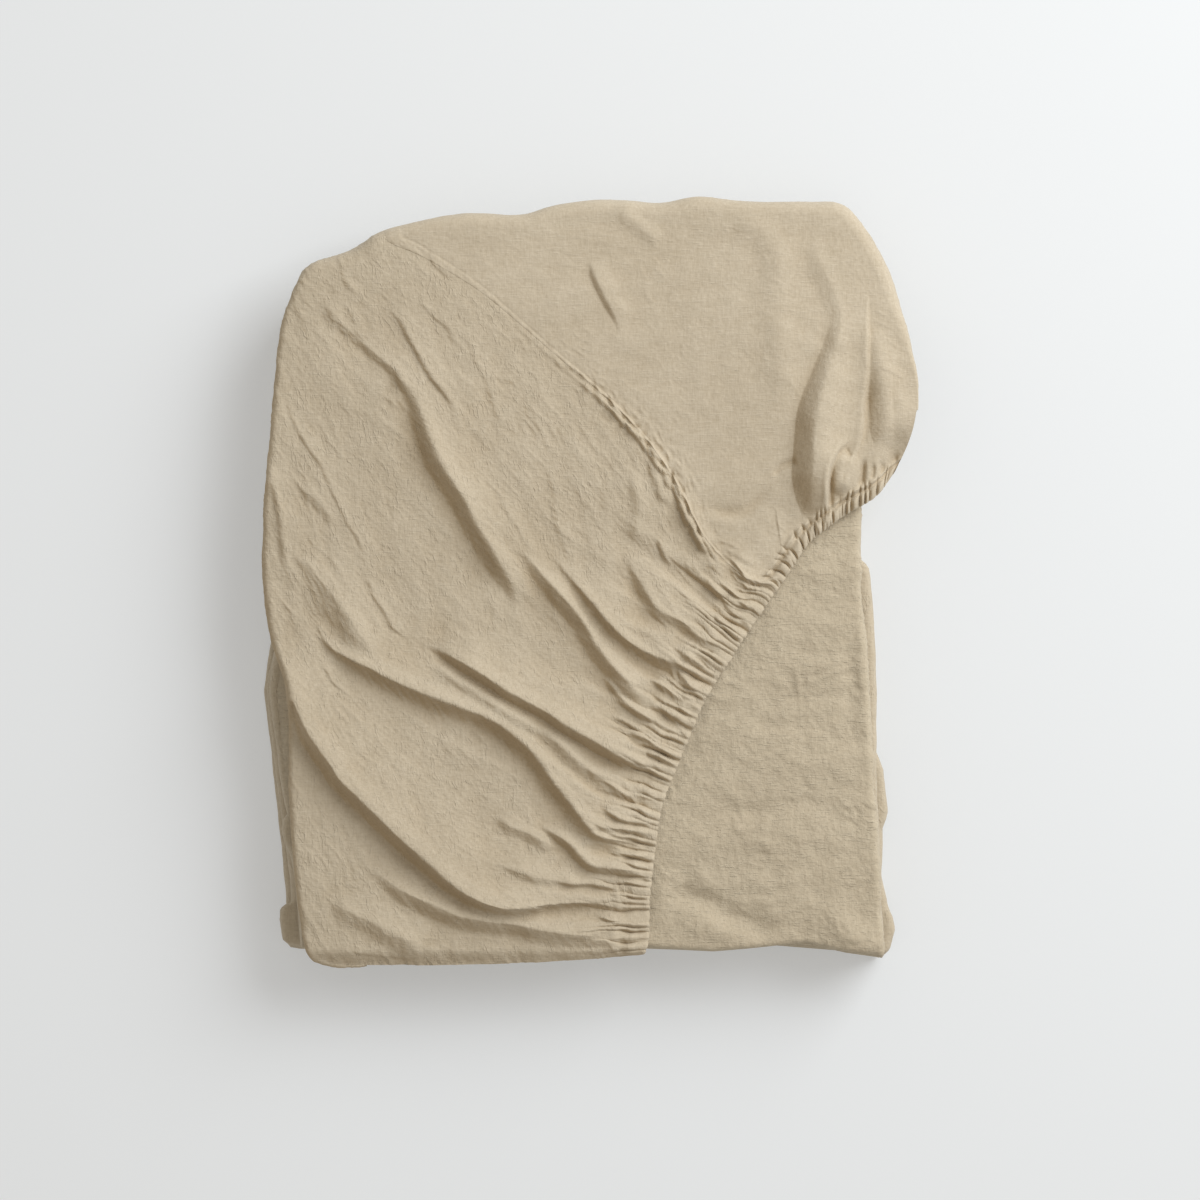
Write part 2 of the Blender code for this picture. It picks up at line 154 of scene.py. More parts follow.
# Folds of the pocket, in millimetres
FOLDS = [
    Fold("long lap", STEP, 9.6, 6.0, 24.0,
         [(-161, -29), (-157, -38), (-152, -50), (-148, -60), (-143, -71.5), (-138, -80.5), (-130, -91.5),
          (-125, -99.5), (-114, -110), (-104, -120), (-93.5, -130), (-82, -140), (-71, -150),
          (-62, -156.5), (-50, -162), (-38, -164), (-20, -162), (0, -161.5), (10, -163), (29, -169)],
         0.12, 0.3),
    Fold("front lap", LAP, 5.2, 8.0, 10.0,
         [(-115, -141), (-105, -148), (-95, -154.5), (-88, -158), (-80, -161.5), (-72, -165),
          (-65, -168), (-55, -170), (-45, -171.5), (-35, -172.5), (-25, -175), (-12, -177),
          (5, -178.5), (18, -180), (29, -181)], 0.25, 0.3),
    Fold("front hollow", LAP, 2.8, 9.0, 12.0,
         [(-132, -159), (-120, -166), (-110, -170.5), (-100, -176), (-92, -180), (-82, -185)]),
    Fold("front crease", LAP, 0.4, 1.2, 4.0,
         [(-122, -185.5), (-110, -187.5), (-100, -188.5), (-88, -189.5)]),
    Fold("left hollow", LAP, 3.8, 12.0, 14.0,
         [(-145, 16), (-140, 8), (-135.5, 1), (-130, -6), (-124, -14), (-118, -23), (-111, -32),
          (-103, -42)], 0.5, 0.35),
    Fold("left line", LAP, 0.9, 1.8, 6.0,
         [(-114, 5), (-109.5, -3), (-106.5, -10), (-102, -17), (-99, -23), (-92, -29)]),
    Fold("middle lap", STEP, 6.6, 7.0, 14.0,
         [(-138, -23), (-135, -28), (-130, -33.5), (-120, -39.5), (-110, -44), (-100, -49.5), (-90, -54),
          (-80, -58), (-70, -61.5), (-60, -65.5), (-50, -69.5), (-40, -75.5), (-31, -83.5), (-25, -91),
          (-20, -98.5), (-13, -107.5), (-6, -116.5), (0, -124), (5, -128), (16, -130), (33, -130)],
         0.16, 0.14),
    Fold("deep groove", LAP, 7.4, 5.0, 16.0,
         [(-84, -31), (-70, -38), (-60, -43.5), (-50, -49.5), (-40, -56), (-30, -61.5), (-20, -67),
          (-10, -73.5), (0, -79), (10, -85), (20, -90.5), (30, -93.5), (42, -100.5)], 0.2, 0.3),
    Fold("ridge by groove", RIDGE, 3.0, 3.4, 0.0,
         [(-84, -40), (-70, -47.5), (-60, -53.5), (-50, -60), (-40, -66.5), (-30, -72), (-20, -79)]),
    Fold("inner lap", LAP, 3.8, 7.5, 9.0,
         [(-30, -68), (-26, -72), (-20, -77), (-10, -86.5), (0, -95), (8, -101), (15, -106), (21, -110)]),
    Fold("inner line", LAP, 1.2, 1.8, 4.0,
         [(5, -99), (9, -101.5), (15, -105), (21, -109.5), (25, -113.5), (34, -118)]),
    Fold("upper lap", LAP, 6.6, 8.4, 15.0,
         [(-107, 113), (-97, 104.5), (-91, 97), (-87, 90), (-83, 80),
          (-79.5, 70), (-75, 60), (-69, 50), (-62.5, 40), (-58, 30), (-51.5, 20), (-46, 10),
          (-40.5, 0), (-37, -9), (-33, -19)], 0.4, 0.26),
    Fold("upper lap start", LAP, 1.5, 4.0, 9.0,
         [(-125, 130), (-115, 120), (-106, 112), (-97, 104), (-90, 92)]),
    Fold("upper crease", LAP, 1.5, 1.6, 8.0,
         [(-103, 137), (-96, 131), (-91, 122), (-87, 115), (-83, 108), (-79, 101), (-74, 95), (-70, 89),
          (-68, 81), (-65, 72)], 0.3, 0.4),
    Fold("thin crease one", LAP, 0.5, 1.4, 5.0,
         [(-89, 143), (-83, 137), (-77, 131), (-71, 126), (-68, 116)]),
    Fold("thin crease two", LAP, 0.5, 1.5, 5.0,
         [(-66, 129), (-60, 118), (-57, 110), (-54, 104), (-51, 97), (-48, 87), (-45, 76)]),
    Fold("thin crease three", LAP, 0.5, 1.3, 4.0,
         [(-24, 63), (-18, 44), (-16.5, 28), (-9.5, 6), (-5.5, -4)]),
    Fold("thin crease four", LAP, 0.5, 1.3, 4.0, [(-48, 45), (-42, 35), (-36, 26), (-28, 12)]),
    Fold("cross crease", LAP, 0.35, 1.2, 4.0, [(-53, 99), (-47, 101), (-37, 98.5)]),
    Fold("ridge band", LAP, 5.4, 7.4, 7.0,
         [(-42, 24), (-37, 17), (-29, 9), (-21.5, 0), (-12, -10), (-4, -20), (2, -30), (9, -40),
          (13.5, -45), (18, -50), (24, -57), (29, -63)], 0.45, 0.16),
    Fold("band branch", LAP, 3.0, 3.4, 5.0, [(6, -48), (10, -52), (17, -60), (24, -65.5), (32, -71)]),
    Fold("second lap", STEP, 6.2, 5.6, 13.0,
         [(-21, 18), (-16, 9), (-8.5, 0), (0, -10), (8, -20), (19, -30.5), (28, -36), (38, -40),
          (46, -43), (54, -47), (63, -51.5)], 0.45, 0.25),
    Fold("second branch", LAP, 2.4, 2.6, 5.0, [(43, -44.5), (47, -49), (52, -55), (59, -61.5)]),
    Fold("seam lap", LAP, 4.2, 5.2, 10.0,
         [(18, 14), (21, 6), (25, -1), (29, -8), (34, -14.5), (40, -18), (46, -21), (52, -25.5),
          (58, -30), (65, -32.5), (72, -38)], 0.4, 0.2),
    Fold("pleat h", LAP, 2.8, 2.6, 6.0, [(41, -33), (47, -36.5), (53, -40.5), (60, -45), (66, -49)]),
    Fold("pleat i", LAP, 3.0, 2.8, 6.0, [(28, -49), (37, -53), (44, -58), (50, -61), (57, -66)]),
    Fold("pleat k", LAP, 2.2, 1.9, 5.0, [(61, -16.5), (66, -21), (72, -26.5), (77, -30.5)]),
    Fold("pleat l", LAP, 2.0, 1.8, 5.0, [(43, -61), (49, -67.5), (55, -73)]),
    Fold("pleat m", LAP, 2.4, 2.2, 5.0, [(18, -76), (28, -79), (36, -84), (44, -91)]),
    Fold("pleat n", LAP, 2.0, 1.8, 5.0, [(36, -65), (43, -71), (50, -80)]),
    Fold("pleat o", LAP, 2.0, 1.8, 5.0, [(27, -86), (35, -88.5), (43, -93)]),
    Fold("pleat p", LAP, 1.8, 1.6, 4.0, [(12, -68.5), (19, -71.5), (26, -75.5)]),
    Fold("pleat q", LAP, 2.2, 2.0, 5.0, [(5, -112), (11, -117), (19, -120.5), (33, -122)]),
    Fold("pleat r", LAP, 2.2, 2.2, 5.0, [(-2, -119.5), (8, -123.5), (20, -125), (33, -127.5)]),
    Fold("pleat s", LAP, 1.6, 1.5, 4.0, [(17, -105.5), (24, -107), (34, -110.5)]),
    Fold("pleat t", LAP, 1.8, 1.6, 4.0, [(8, -136), (18, -137.5), (30, -138)]),
    Fold("low lap", LAP, 4.6, 4.0, 8.0,
         [(-26, -121), (-21, -125), (-15, -128.5), (-10, -132), (-5, -137.5), (0, -142), (6, -143.5),
          (16, -144.5), (29, -146)]),
    Fold("low pleat", LAP, 2.0, 1.8, 5.0, [(-18, -151), (-8, -152), (2, -152), (13, -154.5)]),
    Fold("low pleat two", LAP, 1.8, 1.6, 4.0, [(8, -157.5), (18, -158), (30, -158.5)]),
    Fold("low pleat three", LAP, 1.8, 1.6, 4.0, [(12, -147), (24, -147.5), (31, -151)]),
    Fold("low pleat four", LAP, 2.0, 1.8, 4.0, [(2, -168), (12, -170.5), (20, -171.5), (30, -173)]),
    Fold("low soft", LAP, 1.8, 5.0, 8.0, [(-48, -118), (-38, -124), (-28, -128), (-18, -136)]),
    Fold("low soft two", LAP, 1.6, 4.0, 8.0, [(-46, -142), (-32, -147), (-18, -150), (-4, -150)]),
    Fold("left edge crease", LAP, 0.6, 1.1, 4.0,
         [(-155, 100), (-150, 85), (-145, 73), (-140, 65), (-134, 57), (-130, 47), (-126, 39), (-121.5, 29),
          (-116, 20), (-112, 8)]),
    Fold("left edge fold", LAP, 1.5, 2.6, 6.0,
         [(-160.5, 62), (-158.5, 48), (-156, 38), (-154.3, 28), (-153.5, 18), (-152.5, 8), (-149.5, 0),
          (-145, -6)], 0.2, 0.5),
    Fold("left edge soft", LAP, 0.9, 4.0, 8.0, [(-146, 50), (-141, 44), (-134, 37), (-128, 28)]),
    Fold("left edge line", LAP, 0.6, 1.2, 4.0, [(-137, -20), (-134.5, -26), (-131.5, -31), (-127, -36)]),
    Fold("left low line", LAP, 0.6, 1.2, 4.0, [(-134, -41), (-131, -46), (-127.5, -52), (-121, -57)]),
    Fold("top left line", LAP, 0.5, 1.2, 4.0, [(-125.5, 168), (-124, 155), (-120, 143)]),
    Fold("top left line two", LAP, 0.45, 1.2, 4.0, [(-119.5, 138), (-118, 129), (-114, 120)]),
    Fold("top left fold", LAP, 1.4, 5.0, 8.0, [(-133, 139), (-126, 130), (-118, 122)]),
    Fold("seam crinkle", LAP, 0.5, 1.3, 4.0, [(-82, 165), (-77, 157), (-70, 151)]),
    Fold("seam edge", LAP, 0.8, 1.6, 5.0,
         [(34, 17), (42, 10), (50, 4), (60, -3.5), (69, -12), (80, -21.5)]),
    Fold("seam foot", LAP, 2.6, 3.4, 5.0,
         [(44.5, 46), (45.7, 42), (47.3, 35), (49, 30), (52, 25), (55, 20), (58, 13)]),
    Fold("seam line two", GROOVE, 1.3, 0.8, 0.0, [(49, 35), (52, 29), (55, 22.5), (58, 15.5), (63, 9)]),
    Fold("seam curl", LAP, 0.8, 1.6, 4.0, [(47, 6), (55, 6), (61, 7), (66, 2)]),
    Fold("seam end lap", LAP, 2.8, 2.8, 5.0,
         [(69, 12), (72, 9), (76, 4), (80, 0.5), (86, -1.5), (94, -2.5)]),
    Fold("seam end soft", LAP, 0.8, 2.8, 5.0, [(67, 16), (71, 14), (76, 11), (82, 7.5)]),
    Fold("seam pucker", LAP, 0.4, 1.1, 3.0, [(59, 19.5), (66, 19), (76, 15.5)]),
    Fold("seam dash one", LAP, 1.8, 1.7, 4.0, [(58, 2), (62, -4.5), (67, -9)]),
    Fold("seam dash two", LAP, 1.8, 1.7, 4.0, [(64, -1), (70, -5), (75, -10), (81, -16)]),
    Fold("seam dash three", LAP, 1.6, 1.6, 4.0, [(66, -11), (73, -17.5), (80, -22)]),
    Fold("seam smile", GROOVE, 1.5, 3.2, 0.0,
         [(57, 38), (65, 34.5), (73, 33.5), (80, 36), (86, 43), (88, 50)], 0.35, 0.4),
    Fold("seam side soft", LAP, 1.2, 5.0, 7.0, [(20, 56), (23, 45), (24, 32), (21, 18)]),
    Fold("seam side soft two", LAP, 1.3, 3.4, 6.0, [(29, 60), (33, 50), (37, 38)]),
    Fold("seam side dash", LAP, 1.8, 2.0, 4.0, [(34, 21), (36.5, 14), (39, 8)]),
    Fold("corner slit", GROOVE, 2.4, 1.1, 0.0,
         [(-122, 166.5), (-117, 169.5), (-112, 171), (-105, 172.5)], 0.2, 0.5),
    Fold("back dent", ROLL, 1.7, 3.0, 7.0,
         [(0.4, 161), (2.6, 153), (5.8, 146), (9.2, 139), (12.8, 132), (16, 122)], 0.22, 0.4),
    Fold("back fold", RIDGE, 1.2, 4.0, 0.0, [(11.5, 188.5), (21, 180.5), (36, 169)]),
    Fold("back ridge", RIDGE, 1.6, 8.0, 0.0,
         [(60.5, 190.5), (78.5, 177.5), (92.5, 164.5), (94, 130), (96, 84.5)]),
    Fold("valley top", LAP, 1.4, 9.0, 14.0,
         [(112, 172), (114, 160), (119, 150), (124, 138), (125, 126), (121, 112)]),
    Fold("right valley", ROLL, 8.2, 10.6, 15.0,
         [(126, 140), (125, 128), (122.5, 115), (119, 102), (116, 91), (113.6, 81), (112.6, 71), (112, 61),
          (111.3, 52), (111, 43), (111.5, 34), (111.5, 25)], 0.55, 0.25),
    Fold("valley dent", GROOVE, 1.3, 2.2, 0.0, [(91, 51.5), (95, 55.5), (99, 58), (104, 59.5)]),
    Fold("roll two", LAP, 1.7, 2.6, 7.0,
         [(131, 58), (133.8, 66), (135.2, 75), (136.2, 85), (137, 95), (137.6, 105), (138, 118),
          (138.3, 135),
          (138.5, 150)], 0.25, 0.4),
    Fold("roll two side", GROOVE, 0.6, 5.0, 0.0, [(131, 125), (130, 110), (128, 96)], 0.4, 0.4),
    Fold("roll hollow", GROOVE, 0.8, 2.2, 0.0,
         [(139.5, 104), (138.8, 92), (138.2, 82), (137.5, 72), (135.8, 62)], 0.4, 0.25),
    Fold("roll three", ROLL, 3.4, 8.4, 7.0,
         [(142.5, 128), (144.5, 112), (146.5, 99), (147.8, 88), (148.3, 79), (147.8, 70),
          (145.8, 60)], 0.35, 0.25),
    Fold("roll four", ROLL, 1.2, 5.0, 6.0,
         [(153, 104), (155.5, 94), (156.5, 85), (156, 76), (154, 68)], 0.4, 0.3),
    Fold("hook slit", GROOVE, 2.2, 1.6, 0.0, [(120.6, 34), (120, 43), (120, 50), (121.4, 58)], 0.15, 0.4),
    Fold("hook hollow", ROLL, 3.0, 6.4, 6.0,
         [(128.5, 66), (126.5, 58), (126, 50), (127, 40)], 0.3, 0.3),
    Fold("roll cross", LAP, 0.35, 1.6, 4.0, [(144, 106.5), (150, 104.5), (157, 101)]),
    Fold("hook", LAP, 3.7, 2.5, 7.0,
         [(118.9, 33), (118, 42), (118, 50), (119.4, 57.5), (122.5, 63.5), (127, 68),
          (132.5, 71.5)], 0.1, 0.45),
    Fold("inner hook", RIDGE, 0.7, 1.2, 0.0, [(134, 72), (131.5, 62), (129, 54), (126.5, 45)]),
    Fold("hem pocket one", GROOVE, 2.6, 1.6, 0.0, [(137.1, 62), (136.4, 55), (135.8, 46)], 0.45, 0.2),
    Fold("hem pocket two", GROOVE, 1.8, 1.4, 0.0, [(142.2, 59), (141.3, 50)], 0.45, 0.2),
    Fold("hem pocket three", GROOVE, 2.6, 1.7, 0.0, [(145.6, 61), (146.8, 55), (147, 48.5)], 0.45, 0.2),
    Fold("hem pocket four", GROOVE, 1.6, 1.4, 0.0, [(152.8, 64), (154.4, 55.5)], 0.45, 0.2),
    Fold("arch dot", GROOVE, 0.8, 1.0, 0.0, [(127.8, 66), (130.3, 61.5)]),
    Fold("hem crease", LAP, 0.4, 1.1, 4.0, [(93, 37), (94, 29), (95.5, 20), (97, 13)]),
]

# Folds of the layer that shows below the hem
PANEL_FOLDS = [
    Fold("low hollow", GROOVE, 3.0, 6.0, 0.0,
         [(36, -152), (45, -157), (60, -163), (76, -171), (98, -177)], 0.2, 0.3),
    Fold("low wave", RIDGE, 1.8, 7.0, 0.0, [(40, -168), (55, -172), (70, -179), (95, -184)], 0.3, 0.3),
    Fold("corner lift", RIDGE, 2.0, 7.0, 0.0, [(112, -160), (125, -172), (143, -187)], 0.4, 0.1),
    Fold("middle wave", GROOVE, 1.4, 5.0, 0.0,
         [(50, -112), (75, -117), (110, -113), (138, -119)], 0.3, 0.3),
    Fold("upper wave", GROOVE, 1.1, 5.0, 0.0, [(72, -70), (100, -74), (136, -68)], 0.3, 0.3),
    Fold("side wave", GROOVE, 1.2, 5.0, 0.0, [(129, -20), (131, -60), (133, -95)], 0.3, 0.3),
]

# Broad swellings of the pocket
PUFFS = [
    Puff(-85.0, -20.0, 90.0, 110.0, 3.0),
    Puff(-60.0, 110.0, 80.0, 60.0, 2.5),
    Puff(95.0, 125.0, 75.0, 70.0, 4.5),
    Puff(30.0, 20.0, 45.0, 60.0, 2.0),
    Puff(-120.0, 123.0, 12.0, 16.0, -1.6),
]

# Outer edge of the pocket, from the front corner by the left and back sides to its free end
POCKET_EDGE = [
    (-112.0, -194.2), (-124.0, -194.9), (-133.5, -193.6), (-139.8, -190.2), (-143.7, -182.0),
    (-148.0, -152.5),
    (-151.3, -110.5), (-151.3, -80.0), (-152.5, -55.0), (-160.5, -29.0),
    (-164.5, 2.5), (-164.0, 36.5), (-160.0, 80.0), (-156.5, 120.5),
    (-151.0, 140.5), (-141.5, 158.0), (-121.5, 166.0), (-106.0, 175.5),
    (-85.0, 181.5), (-62.5, 185.0), (-35.0, 184.5), (-18.0, 189.0),
    (5.0, 191.7), (35.0, 190.5), (54.0, 193.5), (78.5, 190.8),
    (110.5, 190.8), (126.0, 189.8), (135.5, 181.5), (149.5, 158.5),
    (157.3, 134.5), (163.5, 109.0), (165.0, 94.0), (164.5, 85.0), (161.5, 73.0),
]

# Rim of the elastic hem, from the front to the free end
HEM = [
    (27.5, -187.5), (29.5, -179.0), (30.5, -157.0), (33.5, -129.0), (37.5, -109.5),
    (49.0, -81.5), (58.5, -59.0), (71.5, -38.5), (85.5, -17.0), (100.5, 4.5),
    (110.5, 19.0), (129.0, 33.0), (143.0, 41.5), (153.0, 54.0),
]

# Ribs of the fan between the outer edge and the hem
RIBS = [
    Rib(0.00, (-112.0, -194.2), (-42.0, -194.3), (27.5, -187.5)),
    Rib(0.08, (-147.0, -160.0), (-100.0, -183.0), (29.0, -181.0)),
    Rib(0.18, (-151.0, -100.0), (-105.0, -160.0), (30.3, -165.0)),
    Rib(0.28, (-159.0, -33.0), (-100.0, -120.0), (31.5, -145.0)),
    Rib(0.38, (-164.5, 10.0), (-85.0, -75.0), (36.0, -115.0)),
    Rib(0.50, (-160.0, 80.0), (-70.0, -15.0), (52.0, -75.0)),
    Rib(0.60, (-154.0, 132.0), (-50.0, 40.0), (71.5, -38.5)),
    Rib(0.66, (-149.0, 145.0), (-35.0, 65.0), (79.0, -27.0)),
    Rib(0.72, (-123.0, 165.0), (-15.0, 90.0), (87.5, -14.0)),
    Rib(0.76, (-103.5, 176.3), (10.0, 106.0), (94.0, -5.0)),
    Rib(0.82, (-35.0, 184.5), (55.0, 118.0), (103.0, 8.0)),
    Rib(0.88, (54.0, 193.5), (98.0, 128.0), (113.0, 21.0)),
    Rib(0.93, (126.0, 189.8), (126.0, 110.0), (128.0, 32.5)),
    Rib(0.96, (153.5, 148.0), (142.0, 95.0), (139.0, 39.5)),
    Rib(1.00, (164.5, 85.0), (161.0, 68.0), (152.0, 53.0)),
]
SEAM_AT = 0.76
SEAM_SPREAD = 0.14

# Stitch line of the corner seam, from the back to the hem
SEAM = [
    (-104.0, 176.3), (-87.5, 168.5), (-68.5, 157.0), (-53.0, 146.0), (-34.0, 129.5), (-15.0, 112.5),
    (1.0, 99.0), (17.0, 83.5), (31.5, 67.0), (45.0, 46.5), (53.5, 29.0), (61.0, 17.5), (75.0, 4.0),
    (85.0, -2.5), (94.0, -5.0),
]

# Left and right sides of the layers at a distance along Y: y, left, right
SIDES = np.array([
    (-189, -151.0, 147.5), (-161, -152.5, 146.5), (-130, -156.5, 144.5), (-100, -160.0, 142.0),
    (-56, -164.0, 140.0), (-30, -160.0, 138.0), (0, -160.5, 136.0), (40, -160.0, 136.0),
    (80, -155.5, 141.0), (120, -151.5, 143.0), (145, -146.0, 139.0), (180, -138.0, 130.0),
])

# Front and back edges of the layers at a distance along X: x, front, back
ENDS = np.array([
    (-165, -181.0, 139.0), (-148, -184.0, 144.0), (-125, -185.0, 154.0), (-100, -184.0, 163.0),
    (-60, -184.0, 173.5), (-15, -183.5, 177.0), (30, -184.0, 180.0), (62, -185.5, 181.0),
    (108, -181.0, 178.5), (130, -186.0, 171.0), (150, -189.0, 160.0),
])

# Turns from the lowest up, some with their own reach at places along Y: y, reach
TURNS = [
    Turn(RIGHT, -1.5, 1.0),
    Turn(LEFT, -0.6, 0.8),
    Turn(RIGHT, 1.2, 1.4,
         [(-189, 1.5), (-187, 3.0), (-177, 5.6), (-171, 4.6), (-164, 2.2), (-150, 0.0), (-143, 0.8),
          (-126, 2.2),
          (-121, 4.4), (-117, 5.6), (-105, 5.2), (-96, 5.0), (-91, 3.4), (-85, 0.6), (-60, -1.0),
          (180, -2.0)]),
    Turn(LEFT, -4.5, 1.0,
         [(-188, -3.0), (-186, 0.6), (-183, 2.6), (-172, 3.8), (-166.5, 3.2), (-164.5, 1.2), (-163, -2.5),
          (-150, -3.4), (-100, -2.6), (-50, -1.4), (-30, -3.0), (180, -3.0)]),
    Turn(RIGHT, -1.0, 1.1),
    Turn(LEFT, -1.0, 1.3,
         [(-188, -6.0), (-161, -5.5), (-140, -5.4), (-136, -4.6), (-132, -2.8), (-126, -2.2), (-121, -3.4),
          (-118, -6.0), (-100, -4.4), (-70, -3.4), (-45, -2.4), (-30, -3.0), (180, -2.0)]),
    Turn(RIGHT, 3.4, 0.9,
         [(-189, -1.0), (-160, -0.6), (-120, 0.8), (-86, 1.8), (-80, 2.4), (-56, 3.6), (-36, 4.6),
          (-24, 4.6),
          (-11, 4.8), (1, 4.4), (6, 3.6), (9, 1.6), (11, -1.5), (60, -3.0), (180, -2.0)]),
    Turn(LEFT, 0.0, 0.7,
         [(-188, -6.5), (-150, -6.0), (-110, -8.0), (-80, -9.5), (-50, -8.5), (-30, -4.0), (180, -1.0)]),
    Turn(RIGHT, 0.0, 0.3),
]


def smooth(value: np.ndarray | float) -> np.ndarray:
    """Ease from 0 to 1.

    Args:
        value: position, with 0 and 1 as the ends of the ease.

    Returns:
        The eased position.
    """
    part = np.clip(value, 0.0, 1.0)
    return part * part * (3.0 - 2.0 * part)


def round_curve(points: Points, per_span: int = 6) -> np.ndarray:
    """Sample a smooth curve through the points.

    Args:
        points: points that the curve passes.
        per_span: samples for each span between two points.

    Returns:
        The samples, one row each.
    """
    pts = np.array(points, dtype=float)
    ends = np.vstack([2 * pts[0] - pts[1], pts, 2 * pts[-1] - pts[-2]])
    t = (np.arange(per_span) / per_span)[:, None]
    spans = []
    for a, b, c, d in zip(ends, ends[1:], ends[2:], ends[3:]):
        spans.append(0.5 * (2 * b + (c - a) * t + (2 * a - 5 * b + 4 * c - d) * t ** 2
                            + (3 * b - a - 3 * c + d) * t ** 3))
    return np.vstack(spans + [pts[-1:]])


def shares(curve: np.ndarray) -> np.ndarray:
    """Share of a sampled curve's length that lies before each sample."""
    along = np.concatenate([[0.0], np.cumsum(np.linalg.norm(np.diff(curve, axis=0), axis=1))])
    return along / along[-1]


def at_share(curve: np.ndarray, share: np.ndarray) -> np.ndarray:
    """Points of a sampled curve at the given shares of its length."""
    along = shares(curve)
    return np.stack([np.interp(share, along, curve[:, axis]) for axis in range(2)], axis=-1)


def share_near(curve: np.ndarray, point: tuple[float, float]) -> float:
    """Share of the length of a sampled curve at its sample nearest to the point."""
    return shares(curve)[np.argmin(np.linalg.norm(curve - np.array(point), axis=1))]


def distance_to(curve: np.ndarray, x: np.ndarray, y: np.ndarray) -> tuple[np.ndarray, np.ndarray]:
    """Signed distance to a sampled curve.

    Args:
        curve: samples of the curve.
        x: points' places along X.
        y: points' places along Y.

    Returns:
        The distance, positive to the curve's left, and the share of its length where it is least.
    """
    start, span = curve[:-1], np.diff(curve, axis=0)
    to_x = x[..., None] - start[:, 0]
    to_y = y[..., None] - start[:, 1]
    t = np.clip((to_x * span[:, 0] + to_y * span[:, 1]) / np.sum(span ** 2, axis=1), 0.0, 1.0)
    gap = np.hypot(to_x - t * span[:, 0], to_y - t * span[:, 1])
    best = np.argmin(gap, axis=-1)[..., None]
    side = np.take_along_axis(span[:, 0] * to_y - span[:, 1] * to_x, best, -1)[..., 0]
    along = shares(curve)
    share = np.take_along_axis(along[:-1] + t * np.diff(along), best, -1)[..., 0]
    near = np.take_along_axis(gap, best, -1)[..., 0]
    return np.where(side >= 0, near, -near), share


def fold_relief(fold: Fold, x: np.ndarray, y: np.ndarray) -> np.ndarray:
    """Height that one fold adds at each point.

    Args:
        fold: the fold.
        x: points' places along X.
        y: points' places along Y.

    Returns:
        Heights in millimetres.
    """
    low, high = np.min(fold.line, axis=0), np.max(fold.line, axis=0)
    margin = 3.0 * fold.spread + 5.0 * fold.width
    near = (x > low[0] - margin) & (x < high[0] + margin)
    near &= (y > low[1] - margin) & (y < high[1] + margin)
    relief = np.zeros_like(x)
    if not near.any():
        return relief
    off, share = distance_to(round_curve(fold.line), x[near], y[near])
    fade = smooth(share / fold.grow) * smooth((1.0 - share) / fold.shrink)
    if fold.kind in (GROOVE, RIDGE):
        bell = np.exp(-(off / fold.width) ** 2)
        relief[near] = fold.height * fade * (bell if fold.kind is RIDGE else -bell)
        return relief
    width = fold.width * (0.45 + 0.55 * fade)
    part = np.maximum(-off, 0.0) / width
    if fold.kind is LAP:
        down = 0.55 * smooth(part) + 0.45 * (1.0 - np.exp(-1.7 * part))
    elif fold.kind is STEP:
        down = 1.0 - np.exp(-2.4 * np.maximum(np.sqrt(part ** 2 + 0.004) - 0.063, 0.0))
    else:
        down = 0.45 * smooth(part) + 0.55 * np.clip(part, 0.0, 1.0) ** 1.8
    crisp, dip = (0.0, 0.04) if fold.kind is ROLL else (0.34, 0.22)
    near_crest = np.exp(-(off / (0.3 * fold.spread)) ** 2)
    back = (1.0 - crisp) * np.exp(-(off / fold.spread) ** 2) + crisp * near_crest
    foot = dip * np.exp(-np.maximum(part - 1.0, 0.0) / 1.5)
    relief[near] = fold.height * fade * np.where(off > 0.0, back, 1.0 - (1.0 + foot) * down)
    return relief


class Noise:
    """Smooth noise over a plane, the same each time for one seed."""

    SIZE = 256

    def __init__(self, seed: int) -> None:
        """Draw the directions of the noise from the seed."""
        angle = np.random.default_rng(seed).uniform(0.0, 2.0 * np.pi, (self.SIZE, self.SIZE))
        self.ways = np.stack([np.cos(angle), np.sin(angle)], axis=-1)

    def at(self, p: np.ndarray, q: np.ndarray) -> np.ndarray:
        """Noise of about -0.7 to 0.7.

        Args:
            p: first coordinate, in cells of the noise.
            q: second coordinate, in cells.

        Returns:
            The noise at each point.
        """
        i, j = np.floor(p).astype(int), np.floor(q).astype(int)
        f, g = p - i, q - j
        total = np.zeros_like(p, dtype=float)
        for di in (0, 1):
            for dj in (0, 1):
                way = self.ways[(i + di) % self.SIZE, (j + dj) % self.SIZE]
                dot = way[..., 0] * (f - di) + way[..., 1] * (g - dj)
                wf = 1.0 - np.abs(f - di)
                wg = 1.0 - np.abs(g - dj)
                ease = (wf ** 3 * (wf * (6 * wf - 15) + 10)) * (wg ** 3 * (wg * (6 * wg - 15) + 10))
                total += ease * dot
        return total


